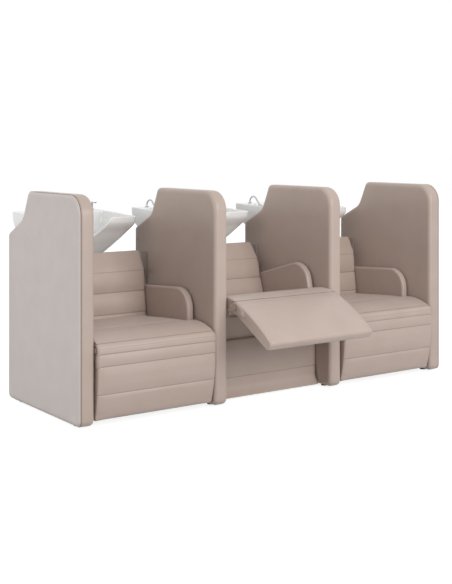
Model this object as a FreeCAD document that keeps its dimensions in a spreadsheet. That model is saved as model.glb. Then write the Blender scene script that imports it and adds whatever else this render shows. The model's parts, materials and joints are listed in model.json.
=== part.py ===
"""Triple shampoo unit: three reclining backwash seats between four padded partition panels.

Millimetres and degrees, +Z up, the seats face -Y. Each piece is drawn with Y = 0 on the plane of
the panels' front edges and X = 0 in the middle of its bay, and its Placement takes it to the bay.
The origin is on the floor, in the middle of the panels' footprint.
"""
import FreeCAD
import Part
import Sketcher
import math
import os
import re

# Bays and panels along the row, as shares of the pitch from its middle.
BAY_SHARES = {"left": -1, "middle": 0, "right": 1}
RECLINED = ("middle",)
PANEL_SHARES = {"left_end_panel": -1.5, "left_inner_panel": -0.5,
                "right_inner_panel": 0.5, "right_end_panel": 1.5}

DRIVING = {
    # the row
    "bay_pitch": 850, "fit_gap": 0.1, "soft_gap": 0.3, "cut_overrun": 5, "match_gap": 0.01,
    # partition panels, outline from the side
    "panel_thickness": 90, "panel_depth": 890, "panel_height": 1220, "floor_gap": 10,
    "panel_top_depth": 622, "shoulder_depth": 697, "shoulder_height": 1060, "ledge_height": 966,
    "panel_edge_round": 22, "panel_front_top_round": 110, "panel_corner_round": 32, "shoulder_round": 110,
    # facings of the two end panels
    "facing_thickness": 3, "facing_inset": 26, "facing_corner_round": 8,
    # levelling feet
    "foot_radius": 20, "foot_pad_height": 5, "foot_neck_radius": 8, "foot_setback": 110,
    # floor frame
    "rail_width": 30, "rail_height": 30, "base_front": 150, "cross_width": 40, "upright_top": 330,
    "cradle_cheek_thickness": 6, "actuator_pin_radius": 8,
    # column under the basin and its floor plate
    "column_setback": 150, "column_depth": 190, "column_half_width": 120, "column_wall": 6,
    "column_top": 700, "column_ear_half_depth": 30, "column_ear_rise": 14, "plate_thickness": 8,
    "plate_half_width": 160, "plate_lead": 10, "plate_tail": 30, "anchor_spacing_x": 280,
    "anchor_spacing_y": 190, "anchor_hole_radius": 7, "drain_hole_radius": 45,
    # fixed front fascia
    "fascia_front": 135, "fascia_top": 345, "fascia_side_gap": 3, "fascia_flare_front": 104,
    "fascia_flare_height": 60, "fascia_seam_height": 123, "fascia_seam_depth": 5,
    # seat shell and its pivot
    "seat_pivot_setback": 125, "seat_pivot_z": 800, "recline_angle": 11.6, "leg_rest_ratio": 4.733,
    "side_plate_thickness": 5, "side_plate_gap": 2, "side_plate_ear": 20, "side_bar_rise": 4,
    "hinge_ear": 14, "nose_board_front": 85, "nose_board_depth": 50,
    "back_bar_width": 50,
    "stud_radius": 10, "stud_reach": 25, "pan_bottom": 352, "pan_thickness": 12, "pan_front": 154.5,
    "back_panel_lead": 20, "back_panel_thickness": 12, "back_panel_bend_z": 690,
    "back_panel_lean": 45, "back_panel_top_z": 795, "tie_tube": 30, "tie_tube_z": 712,
    # curved skirt that closes the gap over the fascia when the seat rises
    "skirt_thickness": 6, "skirt_gap": 1.5, "skirt_top_z": 360, "skirt_overlap_angle": 1.5,
    "skirt_side_gap": 5,
    # leg rest hinge and pad
    "hinge_y": 13, "hinge_z": 403, "hinge_tube_radius": 10, "knuckle_radius": 14, "knuckle_length": 50,
    "knuckle_inset": 20, "knuckle_gap": 1.5, "leg_rest_lean": 5.5, "leg_rest_radius": 33,
    "leg_rest_length": 376, "leg_rest_thickness": 56, "leg_rest_edge_round": 18, "leg_rest_side_gap": 2,
    "leg_rest_arch": 14, "roll_start_angle": 40, "roll_end_angle": 172, "leg_board_thickness": 12,
    "leg_board_length": 330, "leg_board_inset": 16, "leg_notch_gap": 5, "seam_depth": 3,
    "leg_seam_first": 16, "leg_seam_second": 81, "leg_seam_third": 230,
    # arms
    "arm_thickness": 46, "arm_gap": 2, "arm_front": 198, "arm_front_z": 659, "arm_rear_z": 625,
    "arm_corner_round": 150, "arm_edge_round": 12,
    # seat cushion: the part between the arms, and the nose in front of them over the leg rest's roll
    "cushion_gap": 3, "seat_front_top": 479, "seat_rear_top": 452, "seat_crown": 7, "seat_step": 1,
    "seat_main_front": 170, "cushion_edge_round": 14, "seat_roll_gap": 3, "seat_roll_low_angle": 5,
    "nose_tip_angle": 73, "nose_tip_turn": 2, "nose_tip": 6, "nose_middle_y": 70, "nose_middle_z": 467,
    "nose_bend_y": 150, "nose_bottom_front": 80,
    # back cushion, front face at its sewn channels, each set back from the low one
    "back_cushion_depth": 102, "back_seam_low_z": 473, "back_seam_mid_set": 18, "back_seam_mid_z": 600,
    "back_seam_high_set": 25, "back_seam_high_z": 722, "back_top_set": 83, "back_top_z": 838,
    "back_top_rear_set": 139, "back_top_rear_z": 812, "back_bulge": 9, "back_crown": 6,
    # actuator
    "actuator_foot_setback": 35, "actuator_foot_z": 62, "actuator_head_y": 330, "actuator_head_z": 324,
    "actuator_radius": 24, "actuator_bore_radius": 11.2, "actuator_rod_radius": 11, "actuator_eye_radius": 16,
    "actuator_body_start": 38, "actuator_fork_gap": 12, "actuator_rod_gap": 10,
    "lug_half_width": 6, "lug_half_depth": 20, "lug_hole_radius": 14, "fork_gap": 3, "fork_cheek": 5,
    "fork_half_depth": 13, "fork_length": 46, "motor_radius": 26, "motor_length": 110, "motor_offset": 52,
    # basin
    "basin_lead": 69, "basin_length": 557, "basin_width": 580, "basin_rim_front_z": 1047,
    "basin_rim_rear_z": 1069, "basin_drop": 252, "basin_wall": 16, "basin_deck_length": 128,
    "basin_deck_thickness": 30, "neck_half_width": 80, "neck_depth": 119, "waste_hole_radius": 24,
    # tilting cradle under the basin
    "basin_pivot_setback": 324, "basin_pivot_z": 772, "cradle_plate_thickness": 8, "cradle_half_width": 104,
    "cradle_half_depth": 50, "cradle_stud_radius": 8, "cradle_ear_half_depth": 20,
    # waste fitting
    "waste_flange_radius": 36, "waste_flange_thickness": 3, "waste_tail_radius": 20, "waste_tail_end_z": 600,
    "waste_nut_radius": 32, "waste_nut_height": 18,
    # tap and hand spray on the rear deck
    "mixer_x": 225, "mixer_setback": 68, "mixer_radius": 21, "mixer_height": 34, "mixer_base_radius": 27,
    "mixer_base_height": 5, "mixer_shank_radius": 12, "mixer_shank_length": 55, "lever_hub_height": 14,
    "lever_length": 78, "lever_width": 12, "lever_thickness": 7,
    "spray_x": -200, "spray_setback": 68, "spray_radius": 5.5, "spray_bend_radius": 42,
    "spray_stem_length": 60,
    "spray_bend_angle": 135, "spray_reach": 58, "spray_collar_radius": 13, "spray_collar_height": 6,
    "spray_head_radius": 17, "spray_head_length": 34,
}

DERIVED = {
    "half_bay": "(bay_pitch - panel_thickness) / 2",
    "plate_outer": "half_bay - side_plate_gap",
    "plate_inner": "plate_outer - side_plate_thickness",
    "arm_outer": "plate_inner - arm_gap",
    "arm_inner": "arm_outer - arm_thickness",
    "cushion_half": "arm_inner - cushion_gap",
    "leg_half": "plate_inner - leg_rest_side_gap",
    "seat_nose_rear": "arm_front - cushion_gap",
    "pan_top": "pan_bottom + pan_thickness",
    "seat_pivot_y": "panel_depth - seat_pivot_setback",
    "back_bar_front": "seat_pivot_y - back_bar_width / 2",
    "back_bar_rear": "seat_pivot_y + back_bar_width / 2",
    "back_panel_front": "seat_pivot_y - back_panel_lead",
    "back_panel_top_y": "back_panel_front + back_panel_lean",
    "back_low_y": "back_panel_front - back_cushion_depth",
    "back_seam_mid_y": "back_low_y + back_seam_mid_set",
    "back_seam_high_y": "back_low_y + back_seam_high_set",
    "back_top_y": "back_low_y + back_top_set",
    "back_top_rear_y": "back_low_y + back_top_rear_set",
    "seat_rear": "back_low_y - cushion_gap",
    "rail_inner": "half_bay - rail_width",
    "fascia_half": "half_bay - fascia_side_gap",
    "column_half_inner": "column_half_width - column_wall",
    "column_front": "seat_pivot_y + column_setback",
    "column_rear": "column_front + column_depth",
    "plate_front": "column_front - plate_lead",
    "plate_rear": "column_rear + plate_tail",
    "actuator_foot_y": "panel_depth / 2 + actuator_foot_setback",
    "actuator_reach": "sqrt((actuator_foot_y - actuator_head_y)^2 + (actuator_head_z - actuator_foot_z)^2)",
    "actuator_body_length": "actuator_reach - fork_length - actuator_fork_gap - actuator_body_start",
    "actuator_rod_length": "actuator_reach - actuator_body_start - actuator_radius - actuator_rod_gap",
    "basin_front": "seat_pivot_y - basin_lead",
    "basin_pivot_y": "basin_front + basin_pivot_setback",
    "basin_rear": "basin_front + basin_length",
    "basin_bottom": "basin_rim_front_z - basin_drop",
    "deck_front": "basin_rear - basin_deck_length",
    "basin_slope": "(basin_rim_rear_z - basin_rim_front_z) / basin_length",
    "mixer_y": "basin_rear - mixer_setback",
    "mixer_seat_z": "basin_rim_front_z + basin_slope * (mixer_y - basin_front)",
    "spray_y": "basin_rear - spray_setback",
    "mixer_base_z": "mixer_seat_z + basin_slope * mixer_base_radius + soft_gap",
    "spray_seat_z": "basin_rim_front_z + basin_slope * (spray_y - basin_front)",
    "spray_base_z": "spray_seat_z + basin_slope * spray_collar_radius + soft_gap",
}

# Outer sections of the basin from rim to foot: drop, front and rear edge, front and rear half width,
# corner rounding, as shares of the basin's drop, length, length, half width, half width, half width.
BASIN_SECTION_SHARES = (
    (0.00, 0.006, 0.994, 0.985, 0.985, 0.11),
    (0.03, 0.000, 1.000, 1.000, 1.000, 0.12),
    (0.15, 0.000, 1.000, 0.995, 0.995, 0.12),
    (0.38, 0.100, 0.990, 0.930, 0.970, 0.14),
    (0.70, 0.220, 0.820, 0.740, 0.760, 0.17),
    (1.00, 0.310, 0.790, 0.460, 0.460, 0.18),
)
# Stations across a cushion, as shares of its half width.
CUSHION_STATION_SHARES = (-1.0, -0.985, -0.95, -0.88, -0.5, 0.0, 0.5, 0.88, 0.95, 0.985, 1.0)
FACING_STEEP_SHARE = 0.64
FACING_SHOULDER_SHARE = 0.75
FACING_LEDGE_SHARE = 0.63
EDGE_DRAW_SHARE = 0.8
CROWN_FADE_SHARE = 0.85

doc = FreeCAD.newDocument("triple_shampoo_unit")
nodes = {}


def make_sheets():
    """Put the driving dimensions and the sizes worked out from them into two sheets."""
    driving = doc.addObject("Spreadsheet::Sheet", "Sizes")
    for row, (alias, value) in enumerate(DRIVING.items(), start=1):
        driving.set(f"A{row}", alias)
        driving.set(f"B{row}", str(value))
        driving.setAlias(f"B{row}", alias)
    doc.recompute()
    derived = doc.addObject("Spreadsheet::Sheet", "Derived")
    for row, (alias, formula) in enumerate(DERIVED.items(), start=1):
        derived.set(f"A{row}", alias)
        derived.set(f"B{row}", "=" + spell(formula))
        derived.setAlias(f"B{row}", alias)
        doc.recompute()
    return driving, derived


def spell(formula):
    """Write a formula of size names as an expression on the sheets."""
    def cell(match):
        word = match.group(0)
        if word in DRIVING:
            return "Sizes." + word
        if word in DERIVED:
            return "Derived." + word
        return word
    return re.sub(r"[a-z_]+", cell, str(formula))


sizes_sheet, derived_sheet = make_sheets()


def size(name):
    """Read one size from the sheets."""
    sheet = sizes_sheet if name in DRIVING else derived_sheet
    return float(sheet.get(name))


def bind(obj, prop, formula):
    obj.setExpression(prop, spell(formula))


def vec(x, y, z):
    return FreeCAD.Vector(x, y, z)


# Building blocks: boxes, rods, profiles and booleans bound to the sheets

def box(name, x, y, z):
    """Block between low and high formulas along each axis."""
    obj = doc.addObject("Part::Box", name)
    for prop, axis, (low, high) in zip(("Length", "Width", "Height"), "xyz", (x, y, z)):
        bind(obj, prop, f"({high}) - ({low})")
        bind(obj, f"Placement.Base.{axis}", low)
    return obj


def rod(name, axis, radius, start, length):
    """Round bar of the given length from a start point, along one axis."""
    obj = doc.addObject("Part::Cylinder", name)
    turn = {"x": (vec(0, 1, 0), 90), "y": (vec(1, 0, 0), -90), "z": (vec(0, 0, 1), 0)}[axis]
    obj.Placement = FreeCAD.Placement(vec(0, 0, 0), FreeCAD.Rotation(*turn))
    bind(obj, "Radius", radius)
    bind(obj, "Height", length)
    for part, formula in zip("xyz", start):
        bind(obj, f"Placement.Base.{part}", formula)
    return obj


def fuse(name, pieces):
    obj = doc.addObject("Part::MultiFuse", name)
    obj.Shapes = pieces
    obj.Refine = True
    return obj


def cut(name, base, tool):
    obj = doc.addObject("Part::Cut", name)
    obj.Base = base
    obj.Tool = tool
    return obj


def group(name, pieces):
    obj = doc.addObject("Part::Compound", name)
    obj.Links = pieces
    return obj


def solid(name, shape):
    """Free-form piece whose sizes were read from the sheets."""
    obj = doc.addObject("Part::Feature", name)
    obj.Shape = shape
    return obj


def side_sketch(body, name, corners, offset):
    """Closed outline in the side view: corner formulas (y, z), on a plane at X = offset."""
    sketch = body.newObject("Sketcher::SketchObject", name)
    plane = next(item for item in body.Origin.OriginFeatures if item.Role == "YZ_Plane")
    sketch.AttachmentSupport = (plane, "")
    sketch.MapMode = "FlatFace"
    bind(sketch, "AttachmentOffset.Base.z", offset)
    count = len(corners)
    turns = [2 * math.pi * index / count for index in range(count)]
    start = [vec(-math.cos(turn), math.sin(turn), 0) for turn in turns]
    for index in range(count):
        sketch.addGeometry(Part.LineSegment(start[index], start[(index + 1) % count]), False)
    for index in range(count):
        sketch.addConstraint(Sketcher.Constraint("Coincident", index, 2, (index + 1) % count, 1))
    for index, (y, z) in enumerate(corners):
        for kind, formula in (("DistanceX", y), ("DistanceY", z)):
            place = sketch.addConstraint(Sketcher.Constraint(kind, -1, 1, index, 1, 1.0))
            bind(sketch, f"Constraints[{place}]", formula)
    return sketch


def pad_profile(name, corners, start, length, symmetric=False):
    """Body whose side outline is carried along X."""
    body = doc.addObject("PartDesign::Body", name)
    pad = body.newObject("PartDesign::Pad", name + "_pad")
    pad.Profile = side_sketch(body, name + "_outline", corners, start)
    pad.SideType = "Symmetric" if symmetric else "One side"
    bind(pad, "Length", length)
    body.Tip = pad
    doc.recompute()
    return body


def corner_edges(body, corner):
    """Names of the edges along X that stand on one outline corner (y, z)."""
    y, z = corner
    near = size("match_gap")
    names = []
    for index, edge in enumerate(body.Shape.Edges, start=1):
        ends = [vertex.Point for vertex in edge.Vertexes]
        if all(abs(p.y - y) < near and abs(p.z - z) < near for p in ends):
            names.append(f"Edge{index}")
    return names


def side_edges(body):
    """Names of the edges around the two side faces."""
    low, high = body.Shape.BoundBox.XMin, body.Shape.BoundBox.XMax
    near = size("match_gap")
    names = []
    for index, edge in enumerate(body.Shape.Edges, start=1):
        box_of_edge = edge.BoundBox
        for side in (low, high):
            if abs(box_of_edge.XMin - side) < near and abs(box_of_edge.XMax - side) < near:
                names.append(f"Edge{index}")
    return names


def fillet(body, edges, radius):
    base = body.Tip
    feature = body.newObject("PartDesign::Fillet", f"{body.Name}_round_{len(body.Group)}")
    feature.Base = (base, edges)
    bind(feature, "Radius", radius)
    body.Tip = feature
    doc.recompute()


def bore_along_x(body, radius, y, z):
    """Round hole right through the body along X."""
    sketch = body.newObject("Sketcher::SketchObject", body.Name + "_bore_outline")
    plane = next(item for item in body.Origin.OriginFeatures if item.Role == "YZ_Plane")
    sketch.AttachmentSupport = (plane, "")
    sketch.MapMode = "FlatFace"
    centre = vec(size("seat_pivot_y"), size("seat_pivot_z"), 0)
    sketch.addGeometry(Part.Circle(centre, vec(0, 0, 1), 1.0), False)
    for kind, target, formula in (("DistanceX", 3, y), ("DistanceY", 3, z)):
        place = sketch.addConstraint(Sketcher.Constraint(kind, -1, 1, 0, target, 1.0))
        bind(sketch, f"Constraints[{place}]", formula)
    place = sketch.addConstraint(Sketcher.Constraint("Radius", 0, 1.0))
    bind(sketch, f"Constraints[{place}]", radius)
    before = body.Shape.Volume
    pocket = body.newObject("PartDesign::Pocket", body.Name + "_bore")
    pocket.Profile = sketch
    pocket.SideType = "Symmetric"
    bind(pocket, "Length", "panel_thickness + cut_overrun")
    body.Tip = pocket
    doc.recompute()
    assert body.Shape.Volume < before, body.Name + " has no bore"


# Where each piece goes

def to_bay(index):
    return FreeCAD.Placement(vec(index * size("bay_pitch"), -size("panel_depth") / 2, 0), FreeCAD.Rotation())


def seat_pose(bay):
    """Placement of the seat shell in its bay: tipped back about the pivot studs where it is reclined."""
    angle = -size("recline_angle") if bay in RECLINED else 0
    pivot = vec(0, size("seat_pivot_y"), size("seat_pivot_z"))
    return FreeCAD.Placement(vec(0, 0, 0), FreeCAD.Rotation(vec(1, 0, 0), angle), pivot)


def leg_rest_pose(bay):
    """Placement of the leg rest, drawn about its hinge axis."""
    raised = size("recline_angle") * size("leg_rest_ratio") if bay in RECLINED else 0
    turn = FreeCAD.Rotation(vec(1, 0, 0), size("leg_rest_lean") - raised)
    return seat_pose(bay).multiply(FreeCAD.Placement(vec(0, size("hinge_y"), size("hinge_z")), turn))


def actuator_ends(bay):
    foot = vec(0, size("actuator_foot_y"), size("actuator_foot_z"))
    head = seat_pose(bay).multVec(vec(0, size("actuator_head_y"), size("actuator_head_z")))
    return foot, head


def actuator_pose(bay, along):
    """Placement of an actuator piece drawn along +Z, a given way up from the foot pivot."""
    foot, head = actuator_ends(bay)
    turn = FreeCAD.Rotation(vec(0, 0, 1), head - foot)
    return FreeCAD.Placement(foot + (head - foot).normalize() * along, turn)


def keep(label, obj, pose=None, bay=None):
    """Name a finished piece, place it in its bay and list it as a node."""
    obj.Label = label
    if pose is not None:
        obj.Placement = to_bay(BAY_SHARES[bay]).multiply(pose)
    else:
        bind(obj, "Placement.Base.x", f"{BAY_SHARES[bay] if bay else 0} * bay_pitch")
        bind(obj, "Placement.Base.y", "-panel_depth / 2")
    nodes[label] = obj


# Partition panels, facings and feet

PANEL_OUTLINE = (("0", "floor_gap"), ("0", "panel_height"), ("panel_top_depth", "panel_height"),
                 ("shoulder_depth", "shoulder_height"), ("panel_depth", "ledge_height"),
                 ("panel_depth", "floor_gap"))
PANEL_ROUNDS = ("panel_corner_round", "panel_front_top_round", "panel_corner_round",
                "shoulder_round", "panel_corner_round", "panel_corner_round")


def number(formula):
    """Value of an outline coordinate that is one size name, a sum of names or zero."""
    total = 0.0
    sign = 1
    for word in formula.split():
        if word in "+-":
            sign = 1 if word == "+" else -1
        elif word != "0":
            total += sign * size(word)
    return total


def make_panel(label, index):
    body = pad_profile(label, PANEL_OUTLINE, "0", "panel_thickness", symmetric=True)
    for (y, z), radius in zip(PANEL_OUTLINE, PANEL_ROUNDS):
        fillet(body, corner_edges(body, (number(y), number(z))), radius)
    fillet(body, side_edges(body), "panel_edge_round")
    bore_along_x(body, "stud_radius + fit_gap", "seat_pivot_y", "seat_pivot_z")
    keep(label, body)
    bind(body, "Placement.Base.x", f"{index} * bay_pitch")


def make_facing(name, side):
    """Flat outer facing of an end panel, a little inside the panel's outline."""
    inset = "facing_inset"
    corners = ((inset, f"floor_gap + {inset}"), (inset, f"panel_height - {inset}"),
               (f"panel_top_depth - {inset} * {FACING_STEEP_SHARE}", f"panel_height - {inset}"),
               (f"shoulder_depth - {inset} * {FACING_SHOULDER_SHARE}",
                f"shoulder_height - {inset} * {FACING_SHOULDER_SHARE}"),
               (f"panel_depth - {inset}", f"ledge_height - {inset} * {FACING_LEDGE_SHARE}"),
               (f"panel_depth - {inset}", f"floor_gap + {inset}"))
    place = side * PANEL_SHARES["right_end_panel"]
    outer = f"{place} * bay_pitch + {side} * panel_thickness / 2"
    start = "0" if side > 0 else "-facing_thickness"
    body = pad_profile(name, corners, start, "facing_thickness")
    rounds = ["facing_corner_round", f"panel_front_top_round - {inset}", "facing_corner_round",
              f"shoulder_round + {inset}", "facing_corner_round", "facing_corner_round"]
    inset_value = size(inset)
    points = [(inset_value, size("floor_gap") + inset_value),
              (inset_value, size("panel_height") - inset_value),
              (size("panel_top_depth") - inset_value * FACING_STEEP_SHARE,
               size("panel_height") - inset_value),
              (size("shoulder_depth") - inset_value * FACING_SHOULDER_SHARE,
               size("shoulder_height") - inset_value * FACING_SHOULDER_SHARE),
              (size("panel_depth") - inset_value, size("ledge_height") - inset_value * FACING_LEDGE_SHARE),
              (size("panel_depth") - inset_value, size("floor_gap") + inset_value)]
    for point, radius in zip(points, rounds):
        fillet(body, corner_edges(body, point), radius)
    bind(body, "Placement.Base.x", outer)
    return body


def make_feet():
    feet = []
    for index, place in enumerate(PANEL_SHARES.values()):
        for end, y in (("front", "foot_setback"), ("rear", "panel_depth - foot_setback")):
            name = f"foot_{index}_{end}"
            x = f"{place} * bay_pitch"
            pad = rod(name + "_pad", "z", "foot_radius", (x, y, "0"), "foot_pad_height")
            neck = rod(name + "_neck", "z", "foot_neck_radius", (x, y, "0"), "floor_gap")
            feet.append(fuse(name, [pad, neck]))
    keep("levelling_feet", group("levelling_feet", feet))


# Floor frame, column and fascia of a bay

def make_base_frame(bay):
    name = bay + "_base"
    low = "floor_gap"
    high = "floor_gap + rail_height"
    pieces = []
    for side, (x0, x1) in (("l", ("-half_bay", "-rail_inner")), ("r", ("rail_inner", "half_bay"))):
        pieces.append(box(f"{name}_rail_{side}", (x0, x1), ("base_front", "column_front"), (low, high)))
        pieces.append(box(f"{name}_upright_{side}", (x0, x1), ("base_front", "base_front + rail_width"),
                          (low, "upright_top")))
    across = ("-half_bay", "half_bay")
    pieces.append(box(name + "_front_cross", across, ("base_front", "base_front + rail_width"), (low, high)))
    middle = ("(panel_depth - cross_width) / 2", "(panel_depth + cross_width) / 2")
    pieces.append(box(name + "_middle_cross", across, middle, ("0", high)))
    rear = ("column_front - rail_width", "column_front")
    pieces.append(box(name + "_rear_cross", across, rear, (low, high)))
    cheek_in = "actuator_eye_radius + soft_gap"
    for side, (x0, x1) in (("l", (f"-{cheek_in.replace('+', '-')} - cradle_cheek_thickness",
                                  f"-{cheek_in.replace('+', '-')}")),
                           ("r", (cheek_in, f"{cheek_in} + cradle_cheek_thickness"))):
        pieces.append(box(f"{name}_cheek_{side}", (x0, x1),
                          (middle[0], "actuator_foot_y + actuator_eye_radius"),
                          ("floor_gap", "actuator_foot_z + actuator_pin_radius + cradle_cheek_thickness")))
    reach = f"{cheek_in} + cradle_cheek_thickness"
    pieces.append(rod(name + "_pin", "x", "actuator_pin_radius",
                      (f"-({reach})", "actuator_foot_y", "actuator_foot_z"), f"2 * ({reach})"))
    pieces.append(box(name + "_plate", ("-plate_half_width", "plate_half_width"),
                      ("plate_front", "plate_rear"), ("0", "plate_thickness")))
    pieces.append(box(name + "_foot_step", ("-plate_half_width", "plate_half_width"),
                      ("plate_front", "column_front"), ("0", high)))
    pieces.append(box(name + "_column_front", ("-column_half_width", "column_half_width"),
                      ("column_front", "column_front + column_wall"), ("0", "column_top")))
    ear = ("basin_pivot_y - column_ear_half_depth", "basin_pivot_y + column_ear_half_depth")
    for side, (x0, x1) in (("l", ("-column_half_width", "-column_half_inner")),
                           ("r", ("column_half_inner", "column_half_width"))):
        pieces.append(box(f"{name}_column_side_{side}", (x0, x1), ("column_front", "column_rear"),
                          ("0", "column_top")))
        pieces.append(box(f"{name}_column_ear_{side}", (x0, x1), ear,
                          ("column_top", "basin_pivot_z + column_ear_rise")))
    frame = fuse(name + "_welded", pieces)
    holes = [rod(name + "_trunnion_hole", "x", "cradle_stud_radius + fit_gap",
                 ("-column_half_width - cut_overrun", "basin_pivot_y", "basin_pivot_z"),
                 "2 * (column_half_width + cut_overrun)"),
             rod(name + "_drain_hole", "z", "drain_hole_radius", ("0", "basin_pivot_y", "-cut_overrun"),
                 "plate_thickness + 2 * cut_overrun")]
    for tag_x, sign_x in (("l", "-"), ("r", "")):
        for tag_y, sign_y in (("f", "-"), ("b", "+")):
            y = f"(plate_front + plate_rear) / 2 {sign_y} anchor_spacing_y / 2"
            holes.append(rod(f"{name}_anchor_{tag_x}{tag_y}", "z", "anchor_hole_radius",
                             (f"{sign_x}anchor_spacing_x / 2", y, "-cut_overrun"),
                             "floor_gap + rail_height + 2 * cut_overrun"))
    keep(bay + "_base_frame", cut(name, frame, fuse(name + "_holes", holes)), bay=bay)


def make_fascia(bay):
    """Upholstered board with one sewn line and a foot that flares forward."""
    seam = "fascia_seam_height"
    corners = (("base_front", "floor_gap"), ("fascia_flare_front", "floor_gap"),
               ("fascia_front", "floor_gap + fascia_flare_height"),
               ("fascia_front", f"{seam} - fascia_seam_depth"),
               ("fascia_front + fascia_seam_depth", seam),
               ("fascia_front", f"{seam} + fascia_seam_depth"),
               ("fascia_front", "fascia_top"), ("base_front", "fascia_top"))
    body = pad_profile(bay + "_fascia", corners, "0", "2 * fascia_half", symmetric=True)
    keep(bay + "_front_fascia", body, bay=bay)


# Seat shell, arms and cushions of a bay, drawn upright

def make_seat_frame(bay):
    name = bay + "_seat_frame"
    ear = "side_plate_ear"
    pieces = []
    left_stud = "-plate_outer - side_plate_gap - stud_reach"
    for side, (x0, x1), stud in (("l", ("-plate_outer", "-plate_inner"), left_stud),
                                 ("r", ("plate_inner", "plate_outer"), "plate_inner")):
        pieces.append(box(f"{name}_bar_{side}", (x0, x1), ("hinge_y", "back_bar_rear"),
                          ("hinge_z - hinge_ear", "hinge_z + side_bar_rise")))
        pieces.append(rod(f"{name}_hinge_ear_{side}", "x", "hinge_ear", (x0, "hinge_y", "hinge_z"),
                          "side_plate_thickness"))
        pieces.append(box(f"{name}_keel_{side}", (x0, x1), ("nose_board_front", "back_bar_rear"),
                          ("pan_bottom", "hinge_z")))
        pieces.append(box(f"{name}_post_{side}", (x0, x1), ("back_bar_front", "back_bar_rear"),
                          ("pan_bottom", f"seat_pivot_z + {ear}")))
        pieces.append(rod(f"{name}_stud_{side}", "x", "stud_radius", (stud, "seat_pivot_y", "seat_pivot_z"),
                          "side_plate_thickness + side_plate_gap + stud_reach"))
    inside = ("-plate_inner", "plate_inner")
    pieces.append(box(name + "_pan", inside, ("pan_front", "back_bar_rear"), ("pan_bottom", "pan_top")))
    pieces.append(box(name + "_nose_board", inside,
                      ("nose_board_front", "nose_board_front + nose_board_depth"), ("pan_bottom", "pan_top")))
    pieces.append(box(name + "_tie", inside, ("back_panel_front + back_panel_thickness", "back_bar_rear"),
                      ("tie_tube_z - tie_tube", "tie_tube_z")))
    pieces.append(rod(name + "_hinge", "x", "hinge_tube_radius", ("-plate_inner", "hinge_y", "hinge_z"),
                      "2 * plate_inner"))
    lug = ("-lug_half_width", "lug_half_width")
    deep = ("actuator_head_y - lug_half_depth", "actuator_head_y + lug_half_depth")
    pieces.append(box(name + "_lug", lug, deep, ("actuator_head_z - lug_half_depth", "pan_top")))
    thick = "back_panel_thickness"
    back = (("back_panel_front", "pan_bottom"), ("back_panel_front", "back_panel_bend_z"),
            ("back_panel_top_y", "back_panel_top_z"), (f"back_panel_top_y + {thick}", "back_panel_top_z"),
            (f"back_panel_front + {thick}", "back_panel_bend_z"),
            (f"back_panel_front + {thick}", "pan_bottom"))
    pieces.append(pad_profile(name + "_back_panel", back, "0", "2 * cushion_half", symmetric=True))
    hole = rod(name + "_lug_hole", "x", "lug_hole_radius",
               ("-lug_half_width - cut_overrun", "actuator_head_y", "actuator_head_z"),
               "2 * (lug_half_width + cut_overrun)")
    keep(name, cut(name, fuse(name + "_welded", pieces), hole), seat_pose(bay), bay)


def make_arm(bay, side):
    """Padded slab between the cushions and the side plate."""
    label = f"{bay}_{side}_arm"
    corners = (("arm_front", "pan_top"), ("arm_front", "arm_front_z"),
               ("back_bar_front", "arm_rear_z"), ("back_bar_front", "pan_top"))
    start = "-arm_outer" if side == "left" else "arm_inner"
    body = pad_profile(label, corners, start, "arm_thickness")
    fillet(body, corner_edges(body, (size("arm_front"), size("arm_front_z"))), "arm_corner_round")
    fillet(body, side_edges(body), "arm_edge_round")
    keep(label, body, seat_pose(bay), bay)


def chain(x, start, steps):
    """Closed side outline at X: each step is a straight or an arc (with a middle point) to the next point."""
    edges = []
    here = vec(x, *start)
    for step in steps:
        there = vec(x, *step[-1])
        if len(step) == 1:
            edges.append(Part.LineSegment(here, there).toShape())
        else:
            edges.append(Part.Arc(here, vec(x, *step[0]), there).toShape())
        here = there
    return Part.Wire(edges)


def polar(centre, radius, angle):
    """Point of a circle in the side view, the angle counted from the rear upwards."""
    turn = math.radians(angle)
    return centre[0] + radius * math.cos(turn), centre[1] + radius * math.sin(turn)


def edge_inset(share, half, rounding):
    """How far a cushion's outline draws in towards its sewn side edge: a quarter circle."""
    into = max(0.0, abs(share) * half - (half - rounding)) / rounding
    return rounding * (1 - math.sqrt(max(0.0, 1 - into * into))) * EDGE_DRAW_SHARE


def cushion_loft(half, outline):
    wires = [outline(share * half, share) for share in CUSHION_STATION_SHARES]
    return Part.makeLoft(wires, True, True)


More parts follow.
